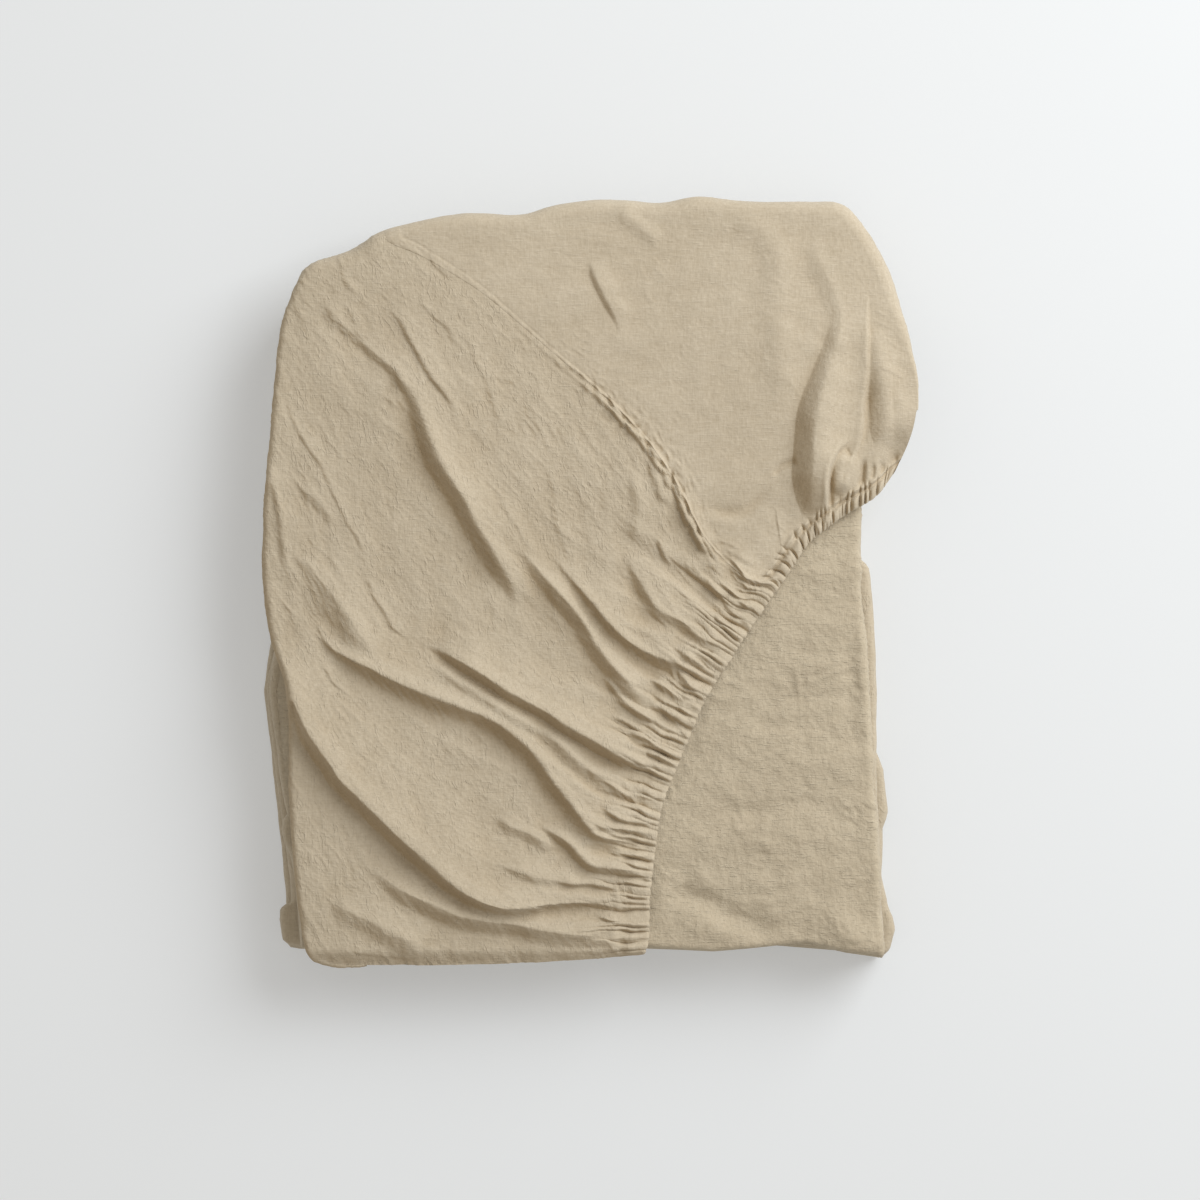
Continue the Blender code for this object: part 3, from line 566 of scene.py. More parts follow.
@dataclass
class Creases:
    """Small creases of washed cloth, as heights along the cloth's normal."""

    seed: int
    angle: float = -76.0
    long: float = 10.0
    short: float = 5.0
    height: float = 0.31
    broad: float = 0.8
    drift: float = 27.0
    patch: tuple[float, float] = (30.0, 24.0)
    swell: tuple[float, float] = (46.0, 17.0)
    dimple: tuple[float, float] = (11.0, 8.0)

    def relief(self, points: np.ndarray) -> np.ndarray:
        """Height of the creases.

        Args:
            points: a grid of points in millimetres.

        Returns:
            Heights in millimetres.
        """
        noise = [Noise(self.seed + k) for k in range(6)]
        x = points[..., 0] + 0.7 * points[..., 2]
        y = points[..., 1] - 0.7 * points[..., 2]
        turn = np.radians(self.angle)
        p = x * np.cos(turn) + y * np.sin(turn)
        q = y * np.cos(turn) - x * np.sin(turn)
        bend = 1.5 * noise[0].at(p / self.drift, q / self.drift)
        sharp = 1.0 - 4.5 * np.abs(noise[1].at(p / self.long + bend, q / self.short + 1.3 * bend))
        fine = 1.0 - 4.0 * np.abs(noise[2].at(p / (0.4 * self.long) + bend, q / (0.7 * self.short) + bend))
        where = smooth(0.35 + 1.8 * noise[3].at(p / self.patch[0], q / self.patch[1]))
        soft = noise[4].at(p / self.swell[0], q / self.swell[1]) \
            + 0.5 * noise[5].at(p / self.dimple[0], q / self.dimple[1])
        lines = where * np.clip(sharp, 0, 1) + 0.45 * (1.1 - where) * np.clip(fine, 0, 1)
        return self.height * lines + self.broad * soft


@dataclass
class Gathers:
    """Pleats that the elastic draws in along the hem."""

    length: float
    seed: int = 11
    pitch: float = 3.9
    height: float = 1.9
    short_reach: float = 3.0
    long_reach: float = 20.0
    uneven: tuple[float, float] = (0.55, 1.6)
    edges: np.ndarray = field(init=False)
    tall: np.ndarray = field(init=False)
    reach: np.ndarray = field(init=False)
    slit: np.ndarray = field(init=False)
    slit_reach: np.ndarray = field(init=False)

    def __post_init__(self) -> None:
        """Draw the pleats one after another along the hem."""
        rng = np.random.default_rng(self.seed)
        count = int(self.length / self.pitch) + 8
        self.edges = np.concatenate([[0.0], np.cumsum(rng.uniform(*self.uneven, count) * self.pitch)])
        self.tall = rng.uniform(0.4, 1.15, count)
        self.reach = rng.uniform(self.short_reach, self.long_reach, count)
        self.slit = 1.2 * rng.uniform(0.0, 1.0, count + 1) ** 1.5
        self.slit_reach = rng.uniform(8.0, 30.0, count + 1)

    def at(self, place: np.ndarray) -> tuple[np.ndarray, np.ndarray]:
        """Pleats along the hem.

        Args:
            place: distance along the hem, in millimetres.

        Returns:
            Height of the pleat from 0 to about 1, and how far it runs into the cloth.
        """
        index = np.clip(np.searchsorted(self.edges, place, side="right") - 1, 0, len(self.tall) - 1)
        part = (place - self.edges[index]) / (self.edges[index + 1] - self.edges[index])
        return self.tall[index] * np.sin(np.pi * np.clip(part, 0, 1)) ** 0.6, self.reach[index]

    def slits(self, place: np.ndarray, inland: np.ndarray) -> np.ndarray:
        """Depth of the narrow slits that stay between some pleats.

        Args:
            place: distance along the hem, in millimetres.
            inland: distance from the casing into the cloth.

        Returns:
            Depths in millimetres.
        """
        middles = 0.5 * (self.edges[1:] + self.edges[:-1])
        nearest = np.clip(np.searchsorted(middles, place), 0, len(self.slit) - 1)
        narrow = np.exp(-((place - self.edges[nearest]) / 0.55) ** 2)
        return self.slit[nearest] * narrow * np.exp(-(inland / self.slit_reach[nearest]) ** 2)


@dataclass
class Bundle:
    """Sizes that the layers and the pocket share, in millimetres."""

    cloth: float = 2.8
    air: float = 1.0
    layers: int = 10
    swell: float = 0.022
    ragged: float = 1.1
    free_end_back: float = 3.0
    spread: float = 0.3
    top_end_back: float = 7.0

    @property
    def pitch(self) -> float:
        """Height from one layer to the next."""
        return self.cloth + self.air

    def height(self, level: np.ndarray | float, x: np.ndarray, y: np.ndarray) -> np.ndarray:
        """Height of a layer's middle.

        Args:
            level: layers counted from the lowest.
            x: places along X.
            y: places along Y.

        Returns:
            Heights in millimetres.
        """
        wave = np.sin(x / 47.0 + 0.6) * np.cos(y / 61.0 - 0.4) + 0.5 * np.sin(y / 33.0)
        return 0.5 * self.cloth + level * self.pitch * (1.0 + self.swell * wave)

    def side(self, side: Side, y: np.ndarray) -> np.ndarray:
        """Left or right side of the layers at a distance along Y."""
        return np.interp(y, SIDES[:, 0], SIDES[:, 1 if side is LEFT else 2])

    def front(self, x: np.ndarray) -> np.ndarray:
        """Front edge of the layers at a distance along X."""
        return np.interp(x, ENDS[:, 0], ENDS[:, 1])

    def back(self, x: np.ndarray) -> np.ndarray:
        """Back edge of the layers at a distance along X."""
        return np.interp(x, ENDS[:, 0], ENDS[:, 2])

    def turn_edge(self, index: int, y: np.ndarray) -> np.ndarray:
        """Outermost place of the middle of the cloth in one turn.

        Args:
            index: the turn, counted from the lowest.
            y: places along Y.

        Returns:
            Places along X.
        """
        turn = TURNS[index]
        out = turn.reach + turn.wave * np.sin(y / 29.0 + 2.1 * index)
        if len(turn.edge):
            place, reach = np.array(turn.edge).T
            out = np.interp(y, place, reach)
        out = out + 0.5 * Noise(200 + index).at(y / 13.0, np.zeros_like(y))
        out = out + self.spread * (self.layers - 1 - index)
        if turn.side is LEFT:
            return self.side(LEFT, y) - out + 0.5 * self.cloth
        return self.side(RIGHT, y) + out - 0.5 * self.cloth


def cavity(points: np.ndarray, along: int, across: int) -> np.ndarray:
    """How deep each point of a grid lies below the points around it.

    Args:
        points: a grid of points in millimetres.
        along: half width of the window over the grid's first axis, in steps.
        across: half width over the second axis.

    Returns:
        0 on ridges and level cloth, up to 1 in deep folds.
    """
    mean = points[..., 2]
    for axis, half in ((0, along), (1, across)):
        for _ in range(2):
            pad = [(half + 1, half) if k == axis else (0, 0) for k in (0, 1)]
            total = np.cumsum(np.pad(mean, pad, mode="edge"), axis=axis)
            width = 2 * half + 1
            low = np.arange(total.shape[axis] - width)
            mean = (np.take(total, low + width, axis) - np.take(total, low, axis)) / width
    return np.clip((mean - points[..., 2] + 0.1) / 2.0, 0.0, 1.0)


def lee_side(points: np.ndarray) -> np.ndarray:
    """How far each part of a grid turns away from the window light, for the shade painted into the colour.

    Args:
        points: a grid of points in millimetres.

    Returns:
        0 where it faces the window or lies level, about 1 where it is turned away.
    """
    normals = grid_normals(points)
    away = -(0.78 * normals[..., 0] + 0.62 * normals[..., 1])
    return 1.5 * np.clip(away - 0.16, 0.0, 1.0)


def make_mesh(name: str, points: np.ndarray, faces: np.ndarray, places: np.ndarray,
              painted_shade: np.ndarray | None = None) -> bpy.types.Object:
    """Make an object from points in millimetres.

    Args:
        name: the object's name.
        points: one row a point, in millimetres.
        faces: one row a four-sided face.
        places: place of each point on the flat cloth, in metres.
        painted_shade: shade painted into each point's colour, from 0 to 1, deep in folds and where the cloth
            turns away from the light.

    Returns:
        The new object, linked to the scene.
    """
    mesh = bpy.data.meshes.new(name)
    mesh.vertices.add(len(points))
    mesh.vertices.foreach_set("co", (points * MM).astype(np.float32).ravel())
    mesh.loops.add(faces.size)
    mesh.loops.foreach_set("vertex_index", faces.astype(np.int32).ravel())
    mesh.polygons.add(len(faces))
    mesh.polygons.foreach_set("loop_start", np.arange(0, faces.size, 4, dtype=np.int32))
    mesh.update(calc_edges=True)
    uv = mesh.uv_layers.new(name="flat_cloth")
    uv.data.foreach_set("uv", places[faces.ravel()].astype(np.float32).ravel())
    # Painted shade: a per-point mask that darkens and warms the colour in creases and on slopes turned away
    # from the key light.
    if painted_shade is not None:
        shade_layer = mesh.attributes.new("painted_crease_shade", "FLOAT", "POINT")
        shade_layer.data.foreach_set("value", painted_shade.astype(np.float32))
    mesh.validate()
    mesh.shade_smooth()
    piece = bpy.data.objects.new(name, mesh)
    bpy.context.scene.collection.objects.link(piece)
    return piece


def grid_faces(numbers: np.ndarray) -> np.ndarray:
    """Four-sided faces over a grid of point numbers, one row each."""
    return np.stack([numbers[:-1, :-1], numbers[1:, :-1], numbers[1:, 1:], numbers[:-1, 1:]],
                    axis=-1).reshape(-1, 4)


def grid_normals(grid: np.ndarray) -> np.ndarray:
    """Unit normals of a grid of points, pointing up on a level grid of ribs by columns."""
    normal = np.cross(np.gradient(grid, axis=1), np.gradient(grid, axis=0))
    return normal / np.maximum(np.linalg.norm(normal, axis=2), 1e-9)[..., None]


def dress(piece: bpy.types.Object, material: bpy.types.Material,
          hold: Hold) -> None:
    """Args:
        piece: the piece.
        material: its finish.
        hold: how the cloth is held; not used.
    """
    piece.data.materials.append(material)
    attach(piece, "root")
    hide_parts(NODE)


def layer_stations(first: int, last: int, per_edge: int, middle: int) -> list[Station]:
    """Columns of a stretch of layers with their turns.

    Args:
        first: first layer, from its middle.
        last: last layer, to its middle.
        per_edge: columns near each turn.
        middle: columns over the rest of a layer.

    Returns:
        The columns, in the order of the cloth.
    """
    near = NEAR_TURN * np.linspace(0.0, 1.0, per_edge + 1) ** 1.3
    inner = np.linspace(NEAR_TURN, 0.5, middle + 1)[1:]
    half = np.concatenate([near, inner])
    stations = []
    for layer in range(first, last + 1):
        stops = np.concatenate([half, 1.0 - half[::-1][1:]])
        if layer == first and first > 0:
            stops = stops[stops >= 0.5]
        if layer == last:
            stops = stops[stops <= 0.5]
        stations += [Station(layer, float(stop), Stretch.RUN) for stop in stops]
        if layer < last:
            stations += [Station(layer, float(a), Stretch.TURN) for a in np.linspace(0, np.pi, 9)[1:-1]]
    return stations


def panel_stations(top: int, seen_to: float) -> list[Station]:
    """Columns of the top layer, fine where it shows.

    Args:
        top: the top layer.
        seen_to: share of the way along it that shows.

    Returns:
        The columns, in the order of the cloth.
    """
    under = [Station(top - 1, stop, Stretch.RUN) for stop in (0.5, 0.7, 0.85, 0.93, 0.97, 0.985, 1.0)]
    turn = [Station(top - 1, float(a), Stretch.TURN) for a in np.linspace(0, np.pi, 15)[1:-1]]
    seen = [Station(top, float(stop), Stretch.RUN) for stop in np.linspace(0.0, seen_to, 118)]
    hidden = [Station(top, float(stop), Stretch.RUN) for stop in np.linspace(seen_to, 1.0, 16)[1:]]
    return under + turn + seen + hidden


@dataclass
class Pocket:
    """Corner pocket: a fan of folds between the bundle's edge and the elastic hem."""

    bundle: Bundle
    lift: float = 0.6
    rest: float = 2.5
    joined_to: float = 0.66
    free_by: float = 0.76
    bead_from: float = 0.755
    thin_from: float = 0.91
    end_from: float = 0.955
    side_low: float = 16.0
    side_tuck: float = 7.0
    end_tuck: float = 0.7
    end_depth: float = 3.5
    side_steps: int = 10
    hem_width: float = 9.5
    hem_half: float = 1.5
    rim: float = 2.4
    under_rim: float = 0.45
    near_hem: float = 13.0
    scallop: float = 1.3
    lean_height: float = 2.7
    small_lean_height: float = 2.0
    front_from: float = -184.5
    front_reach: float = 9.5
    front_drop: float = 4.5
    end_corner: tuple[float, float] = (142.0, 84.0)
    end_droop: float = 7.0
    near_steps: int = 20
    casing_steps: int = 20
    allowance: float = 5.4
    fan_length: float = 620.0
    panel_overlap: float = 0.004
    panel_drop: float = 0.8
    gathers: Gathers = field(init=False)
    wide_gathers: Gathers = field(init=False)
    beads: Gathers = field(init=False)

    def __post_init__(self) -> None:
        """Work out the curves of the outer edge, the hem and the seam."""
        self.edge = round_curve(POCKET_EDGE, 10)
        self.hem = round_curve(HEM, 10)
        self.hem_length = float(np.sum(np.linalg.norm(np.diff(self.hem, axis=0), axis=1)))
        self.gathers = Gathers(self.hem_length)
        self.wide_gathers = Gathers(self.hem_length, seed=12, pitch=9.5, height=1.6,
                                    short_reach=10.0, long_reach=34.0)
        self.beads = Gathers(self.hem_length, seed=14, pitch=5.2, uneven=(0.75, 1.3))
        self.seam = round_curve(SEAM)
        self.seam_length = float(np.sum(np.linalg.norm(np.diff(self.seam, axis=0), axis=1)))

    def seam_relief(self, x: np.ndarray, y: np.ndarray) -> np.ndarray:
        """Height of the corner seam: its stitch line and the lumpy allowance beside it.

        Args:
            x: places along X.
            y: places along Y.

        Returns:
            Heights in millimetres.
        """
        off, share = distance_to(self.seam, x, y)
        place = share * self.seam_length
        lump = 0.5 - 2.2 * np.abs(Noise(71).at(place / 5.0 + off / 9.0, off / 3.6)) \
            + 0.8 * Noise(72).at(place / 7.5, off / 6.0)
        wander = 1.2 * Noise(73).at(place / 9.0, np.zeros_like(place))
        band = smooth((off + self.allowance + wander) / 1.6) * smooth((0.6 - off) / 1.2)
        strong = 0.16 + 1.0 * smooth((share - 0.35) / 0.25) - 0.7 * smooth((share - 0.8) / 0.1)
        ends = smooth(share / 0.03) * smooth((1.0 - share) / 0.03)
        pull = 0.7 * lump * np.exp(-((off + 2.0) / 9.0) ** 2)
        stitch = np.exp(-(off / 0.7) ** 2)
        return ends * (strong * (band * (0.8 + 1.8 * lump) + pull) - 0.25 * stitch)

    def leaning(self, gap: np.ndarray, place: np.ndarray) -> np.ndarray:
        """Small leaning folds that run from the hem into the cloth.

        Args:
            gap: distance to the hem's rim.
            place: distance along the hem.

        Returns:
            Heights in millimetres.
        """
        deep, thin = Noise(81), Noise(82)
        lean = 0.35 * deep.at(gap / 60.0, place / 11.0)
        first = 0.45 - 2.0 * np.abs(deep.at(gap / 70.0, place / 15.0 + lean))
        second = 0.4 - 2.0 * np.abs(thin.at(gap / 34.0, place / 8.0 + 0.5 * lean))
        inland = np.maximum(gap - 10.0, 0.0)
        return self.lean_height * first * (0.1 + 0.9 * np.exp(-inland / 55.0)) \
            + self.small_lean_height * second * np.exp(-inland / 26.0)

    def relief(self, x: np.ndarray, y: np.ndarray, gap: np.ndarray, place: np.ndarray,
               bead: np.ndarray) -> np.ndarray:
        """Height of the pocket over the top layer.

        Args:
            x: places along X.
            y: places along Y.
            gap: distance to the hem's rim.
            place: distance along the hem.
            bead: 1 where the hem is a tight roll of beads, 0 where it lies in pleats.

        Returns:
            Heights in millimetres, never below the layer.
        """
        height = np.full_like(x, self.rest)
        for puff in PUFFS:
            height += puff.height * np.exp(-((x - puff.x) / puff.wide) ** 2 - ((y - puff.y) / puff.deep) ** 2)
        for fold in FOLDS:
            height += fold_relief(fold, x, y)
        height += self.leaning(gap, place) * (1.0 - 0.85 * bead)
        height += self.seam_relief(x, y)
        height = np.logaddexp(0.0, 1.2 * height) / 1.2
        height *= 0.45 + 0.55 * smooth((gap - 3.0) / 17.0)
        front = smooth((self.front_from - y) / self.front_reach) * (x < HEM[0][0] + 5.0)
        return height - self.front_drop * front

    def seam_shift(self, t: np.ndarray) -> np.ndarray:
        """How far the true seam lies from the plain bent line of its rib.

        Args:
            t: shares of the way along the rib.

        Returns:
            Shifts along X and Y, one row a share.
        """
        rib = next(rib for rib in RIBS if rib.at == SEAM_AT)
        t = t[:, None]
        line = np.array(rib.edge) * (1 - t) ** 2 + 2 * np.array(rib.bend) * t * (1 - t)
        line = line + np.array(rib.hem) * t ** 2
        return (at_share(self.seam, shares(line)) - line) * smooth(t / 0.05) * smooth((1 - t) / 0.05)

    def fan(self, ribs: np.ndarray) -> Fan:
        """Ends, bend and way out of each rib.

        Args:
            ribs: values of the fan line.

        Returns:
            The fan, one row a rib.
        """
        at = [rib.at for rib in RIBS]
        edge_share = np.interp(ribs, at, [share_near(self.edge, rib.edge) for rib in RIBS])
        hem_share = np.interp(ribs, at, [share_near(self.hem, rib.hem) for rib in RIBS])
        bend = np.stack([np.interp(ribs, at, [rib.bend[axis] for rib in RIBS]) for axis in (0, 1)], axis=-1)
        along = at_share(self.edge, np.clip(edge_share + 0.012, 0, 1)) \
            - at_share(self.edge, np.clip(edge_share - 0.012, 0, 1))
        outward = np.stack([-along[:, 1], along[:, 0]], axis=-1)
        outward /= np.linalg.norm(outward, axis=1)[:, None]
        edge = at_share(self.edge, edge_share) - 0.5 * outward
        free = smooth((ribs - self.joined_to) / (self.free_by - self.joined_to))
        near_end = smooth((ribs - self.end_from) / (1.0 - self.end_from))
        place = hem_share * self.hem_length
        return Fan(ribs, edge, bend, at_share(self.hem, hem_share), outward, place, free, near_end)

    def side_foot(self, fan: Fan) -> tuple[np.ndarray, np.ndarray]:
        """Foot of the pocket's outer side.

        Args:
            fan: the ribs.

        Returns:
            Its height, and how far in from the edge it is tucked.
        """
        bundle, free = self.bundle, fan.free
        x, y = fan.edge.T
        base = bundle.height(bundle.layers, x, y) + self.lift
        low = bundle.height(bundle.layers - 1, x, y) * (1 - free) + self.side_low * free
        free_tuck = self.side_tuck * (1 - fan.near_end) + self.end_tuck * fan.near_end
        tuck = 0.42 * (base + self.rest + 1.0 - low) * (1 - free) + free_tuck * free
        return low, tuck * (0.3 + 0.7 * smooth(fan.ribs / 0.05))

    def plan(self, fan: Fan, start: np.ndarray, lines: int) -> tuple[np.ndarray, np.ndarray]:
        """Course of the ribs seen from above, from the outer edge to under the rim.

        Args:
            fan: the ribs.
            start: where each rib starts.
            lines: steps over the open field of each rib.

        Returns:
            Places along X and Y, and the distance to the rim, negative under it.
        """
        t = np.linspace(0.0, 1.0, 121)[None, :, None]
        line = start[:, None] * (1 - t) ** 2 + 2 * fan.bend[:, None] * t * (1 - t)
        line = line + fan.hem[:, None] * t ** 2
        by_seam = smooth(1.0 - np.abs(fan.ribs - SEAM_AT) / SEAM_SPREAD)[:, None, None]
        line = line + by_seam * self.seam_shift(t[0, :, 0])[None]
        steps = np.linalg.norm(np.diff(line, axis=1), axis=2)
        length = np.concatenate([np.zeros((len(line), 1)), np.cumsum(steps, axis=1)], axis=1)
        angle = self.casing_angle()
        casing_gap = 0.5 * self.hem_width * (1.0 - np.cos(angle))
        near_gap = self.hem_width + self.near_hem * np.linspace(1.0, 0.0, self.near_steps + 1)[:-1] ** 1.2
        field_share = np.linspace(0.0, 1.0, lines + 1)[:-1]
        scallop = self.scallop * (self.gathers.at(fan.place)[0] - 0.6)
        rows_plan, rows_gap = [], []
        for i, total in enumerate(length[:, -1]):
            squeeze = min(1.0, 0.75 * total / near_gap[0])
            near = squeeze * near_gap
            far = total + (near[0] - total) * field_share
            gap = np.concatenate([far, near, squeeze * casing_gap])
            reached = total - gap
            reached[-len(angle):] += scallop[i] * np.sin(np.linspace(0.0, np.pi, len(angle)))
            course = [np.interp(reached, length[i], line[i, :, axis]) for axis in (0, 1)]
            rows_plan.append(np.stack(course, axis=-1))
            rows_gap.append(gap)
        return np.array(rows_plan), np.array(rows_gap)

    def casing_angle(self) -> np.ndarray:
        """Angles over the casing, from its seam over its top to under the rim."""
        return np.linspace(np.pi, -self.under_rim * np.pi, self.casing_steps + 1)

    def hem_relief(self, fan: Fan, gap: np.ndarray, bead: np.ndarray) -> np.ndarray:
        """Height of the pleats, the slits between them and the casing.

        Args:
            fan: the ribs.
            gap: distance to the rim, one row a rib.
            bead: 1 where the hem is a tight roll of beads, 0 where it lies in pleats.

        Returns:
            Heights in millimetres.
        """
        ribs, place = fan.ribs, fan.place[:, None]
        inland = np.maximum(gap - self.hem_width, 0.0)
        wander = Noise(91).at(gap / 16.0, place / 8.0) * smooth((gap - 3.0) / 12.0)
        wide_ridge, wide_reach = self.wide_gathers.at(place + 3.0 * wander)
        wide_ridge = wide_ridge * (1.0 - 0.5 * smooth((ribs - 0.64) / 0.1))[:, None] * (1.0 - 0.8 * bead)
        ridge, reach = self.gathers.at(place + 3.0 * wander)
        reach = reach * (1.0 - bead) + 1.2 * bead
        pleats = self.gathers.height * ridge * np.exp(-(inland / reach) ** 1.5) * smooth((gap - 4.0) / 6.0)
        slits = self.gathers.slits(place + 3.0 * wander, inland) * smooth((gap - 0.5) / 3.0)
        wide_pleats = self.wide_gathers.height * wide_ridge * np.exp(-(inland / wide_reach) ** 1.5)

        wide = self.hem_width + 4.0 - 6.0 * bead
        angle = self.casing_angle()
        rim = np.clip(gap / (self.rim + 0.8 * bead), 0, 1)
        round_rim = np.sqrt(np.clip(1.0 - (1.0 - rim) ** 2, 0.0, 1.0))
        casing = round_rim * smooth((wide - gap) / (0.75 * wide - 0.45 * wide * bead))
        under = -np.abs(np.sin(angle)) ** 0.75
        casing[:, -len(angle):] = np.where(angle < 0.0, under, casing[:, -len(angle):])
        over = np.clip((gap + 0.6) / (wide + 0.6), 0.0, 1.0)
        domed = 1.0 - bead + bead * np.sin(np.pi * over) ** 0.5
        thin = smooth((ribs - self.thin_from) / 0.03)[:, None]
        round_bead = self.beads.at(place + 1.5 * wander)[0]
        round_bead = (0.55 + 0.55 * round_bead) * np.clip(round_bead / 0.35, 0.0, 1.0) ** 0.8
        round_bead = round_bead * (1 - thin) + ridge * thin
        full = 0.7 * (1 - bead) + (0.65 * ridge * (1 - bead) + 2.3 * bead * round_bead * domed)
        patchy = 1.2 + 1.8 * Noise(92).at(gap / 9.0, place / 7.0)
        pinched = bead * patchy * np.exp(-((gap - wide) / 1.0) ** 2)
        return pleats - (1.0 - bead) * slits + wide_pleats + self.hem_half * casing * full - pinched

    def grid(self, ribs: np.ndarray, lines: int) -> tuple[np.ndarray, np.ndarray, np.ndarray]:
        """Surface of the pocket over a range of the fan.

        Args:
            ribs: values of the fan line.
            lines: steps over the open field of each rib.

        Returns:
            Points, their distance to the rim (negative under it), and places on the flat cloth.
        """
        fan = self.fan(ribs)
        low, tuck = self.side_foot(fan)
        start = fan.edge - tuck[:, None] * fan.outward
        plan, gap = self.plan(fan, start, lines)
        x, y = plan[..., 0], plan[..., 1]
        bead = smooth((ribs - self.bead_from) / 0.02)[:, None]
        z = self.bundle.height(self.bundle.layers, x, y) + self.lift
        z += self.relief(x, y, gap, np.broadcast_to(fan.place[:, None], gap.shape), bead)
        z += self.hem_relief(fan, gap, bead)
        corner_x, corner_y = self.end_corner
        z -= self.end_droop * smooth((x - corner_x) / 12.0) * smooth((corner_y - y) / 24.0)

        low = low * (1 - fan.near_end) + (z[:, 0] - self.end_depth) * fan.near_end
        turn = np.linspace(-0.5 * np.pi, 0.5 * np.pi, self.side_steps + 1)[:-1]
        square = (1.0 - 0.2 * fan.free)[:, None]
        cos = np.abs(np.cos(turn))[None] ** square
        sin = np.sign(np.sin(turn))[None] * np.abs(np.sin(turn))[None] ** square
        side_plan = start[:, None] + (tuck[:, None] * cos)[..., None] * fan.outward[:, None]
        side_z = 0.5 * (z[:, :1] + low[:, None]) + 0.5 * (z[:, :1] - low[:, None]) * sin
        points = np.concatenate([np.dstack([side_plan, side_z]), np.dstack([x, y, z])], axis=1)
        steps = np.linalg.norm(np.diff(points, axis=1), axis=2)
        run = np.concatenate([np.zeros((len(ribs), 1)), np.cumsum(steps, axis=1)], axis=1)
        run -= run[:, -1:]
        flat = np.dstack([run, np.broadcast_to(ribs[:, None] * self.fan_length, run.shape)])
        gap = np.concatenate([np.full((len(ribs), self.side_steps), 60.0), gap], axis=1)
        return points, gap, flat

    def build(self, name: str, first: float, last: float, ribs: int, lines: int,
              creases: Sequence[Creases]) -> bpy.types.Object:
        """Make one panel of the pocket.

        Args:
            name: the piece's name.
            first: fan line where the panel starts.
            last: fan line where it ends.
            ribs: steps from the first line to the last.
            lines: steps over the open field of each rib.
            creases: the panel's sets of small creases.

        Returns:
            The panel.
        """
        values = np.linspace(first, last, ribs + 1)
        points, gap, flat = self.grid(values, lines)
        quiet = 0.25 + 0.75 * smooth((gap - self.hem_width) / 8.0)
        quiet *= smooth(np.abs(values - SEAM_AT) / 0.012)[:, None]
        wrinkle = sum(part.relief(points) for part in creases)
        points += grid_normals(points) * (wrinkle * quiet)[..., None]
        if first:
            points[..., 2] -= self.panel_drop * smooth((SEAM_AT + 0.001 - values) / 0.004)[:, None]
        numbers = np.arange(points.shape[0] * points.shape[1]).reshape(points.shape[:2])
        faces = grid_faces(numbers)[:, ::-1]
        # Painted shade: the colour is darkened and warmed in creases and on slopes turned away from the key
        # light.
        painted_shade = np.clip(0.45 * cavity(points, 9, 6) + lee_side(points), 0.0, 1.0)
        return make_mesh(name, points.reshape(-1, 3), faces, flat.reshape(-1, 2) * MM, painted_shade.ravel())

    def make(self, cloth: bpy.types.Material, smooth_lit_cloth: bpy.types.Material) -> list[bpy.types.Object]:
        """Build and dress the two panels of the pocket.

        Args:
            cloth: finish of the gathered panel.
            smooth_lit_cloth: finish of the panel right of the seam, its pale tone a little lighter as painted
                light.

        Returns:
            The two panels.
        """
        upright = Creases(83, angle=-86.0, long=16.0, short=6.0, height=0.4, broad=0.35)
        level = Creases(23, angle=5.0, long=14.0, height=0.2, broad=0.7)
        skirt = self.build("pocket_skirt", 0.0, SEAM_AT, 620, 109, [Creases(3, broad=0.65), upright])
        side = self.build("pocket_side", SEAM_AT - self.panel_overlap, 1.0, 400, 190, [level])
        dress(skirt, cloth, Hold.GATHERED)
        dress(side, smooth_lit_cloth, Hold.GATHERED)
        return [skirt, side]


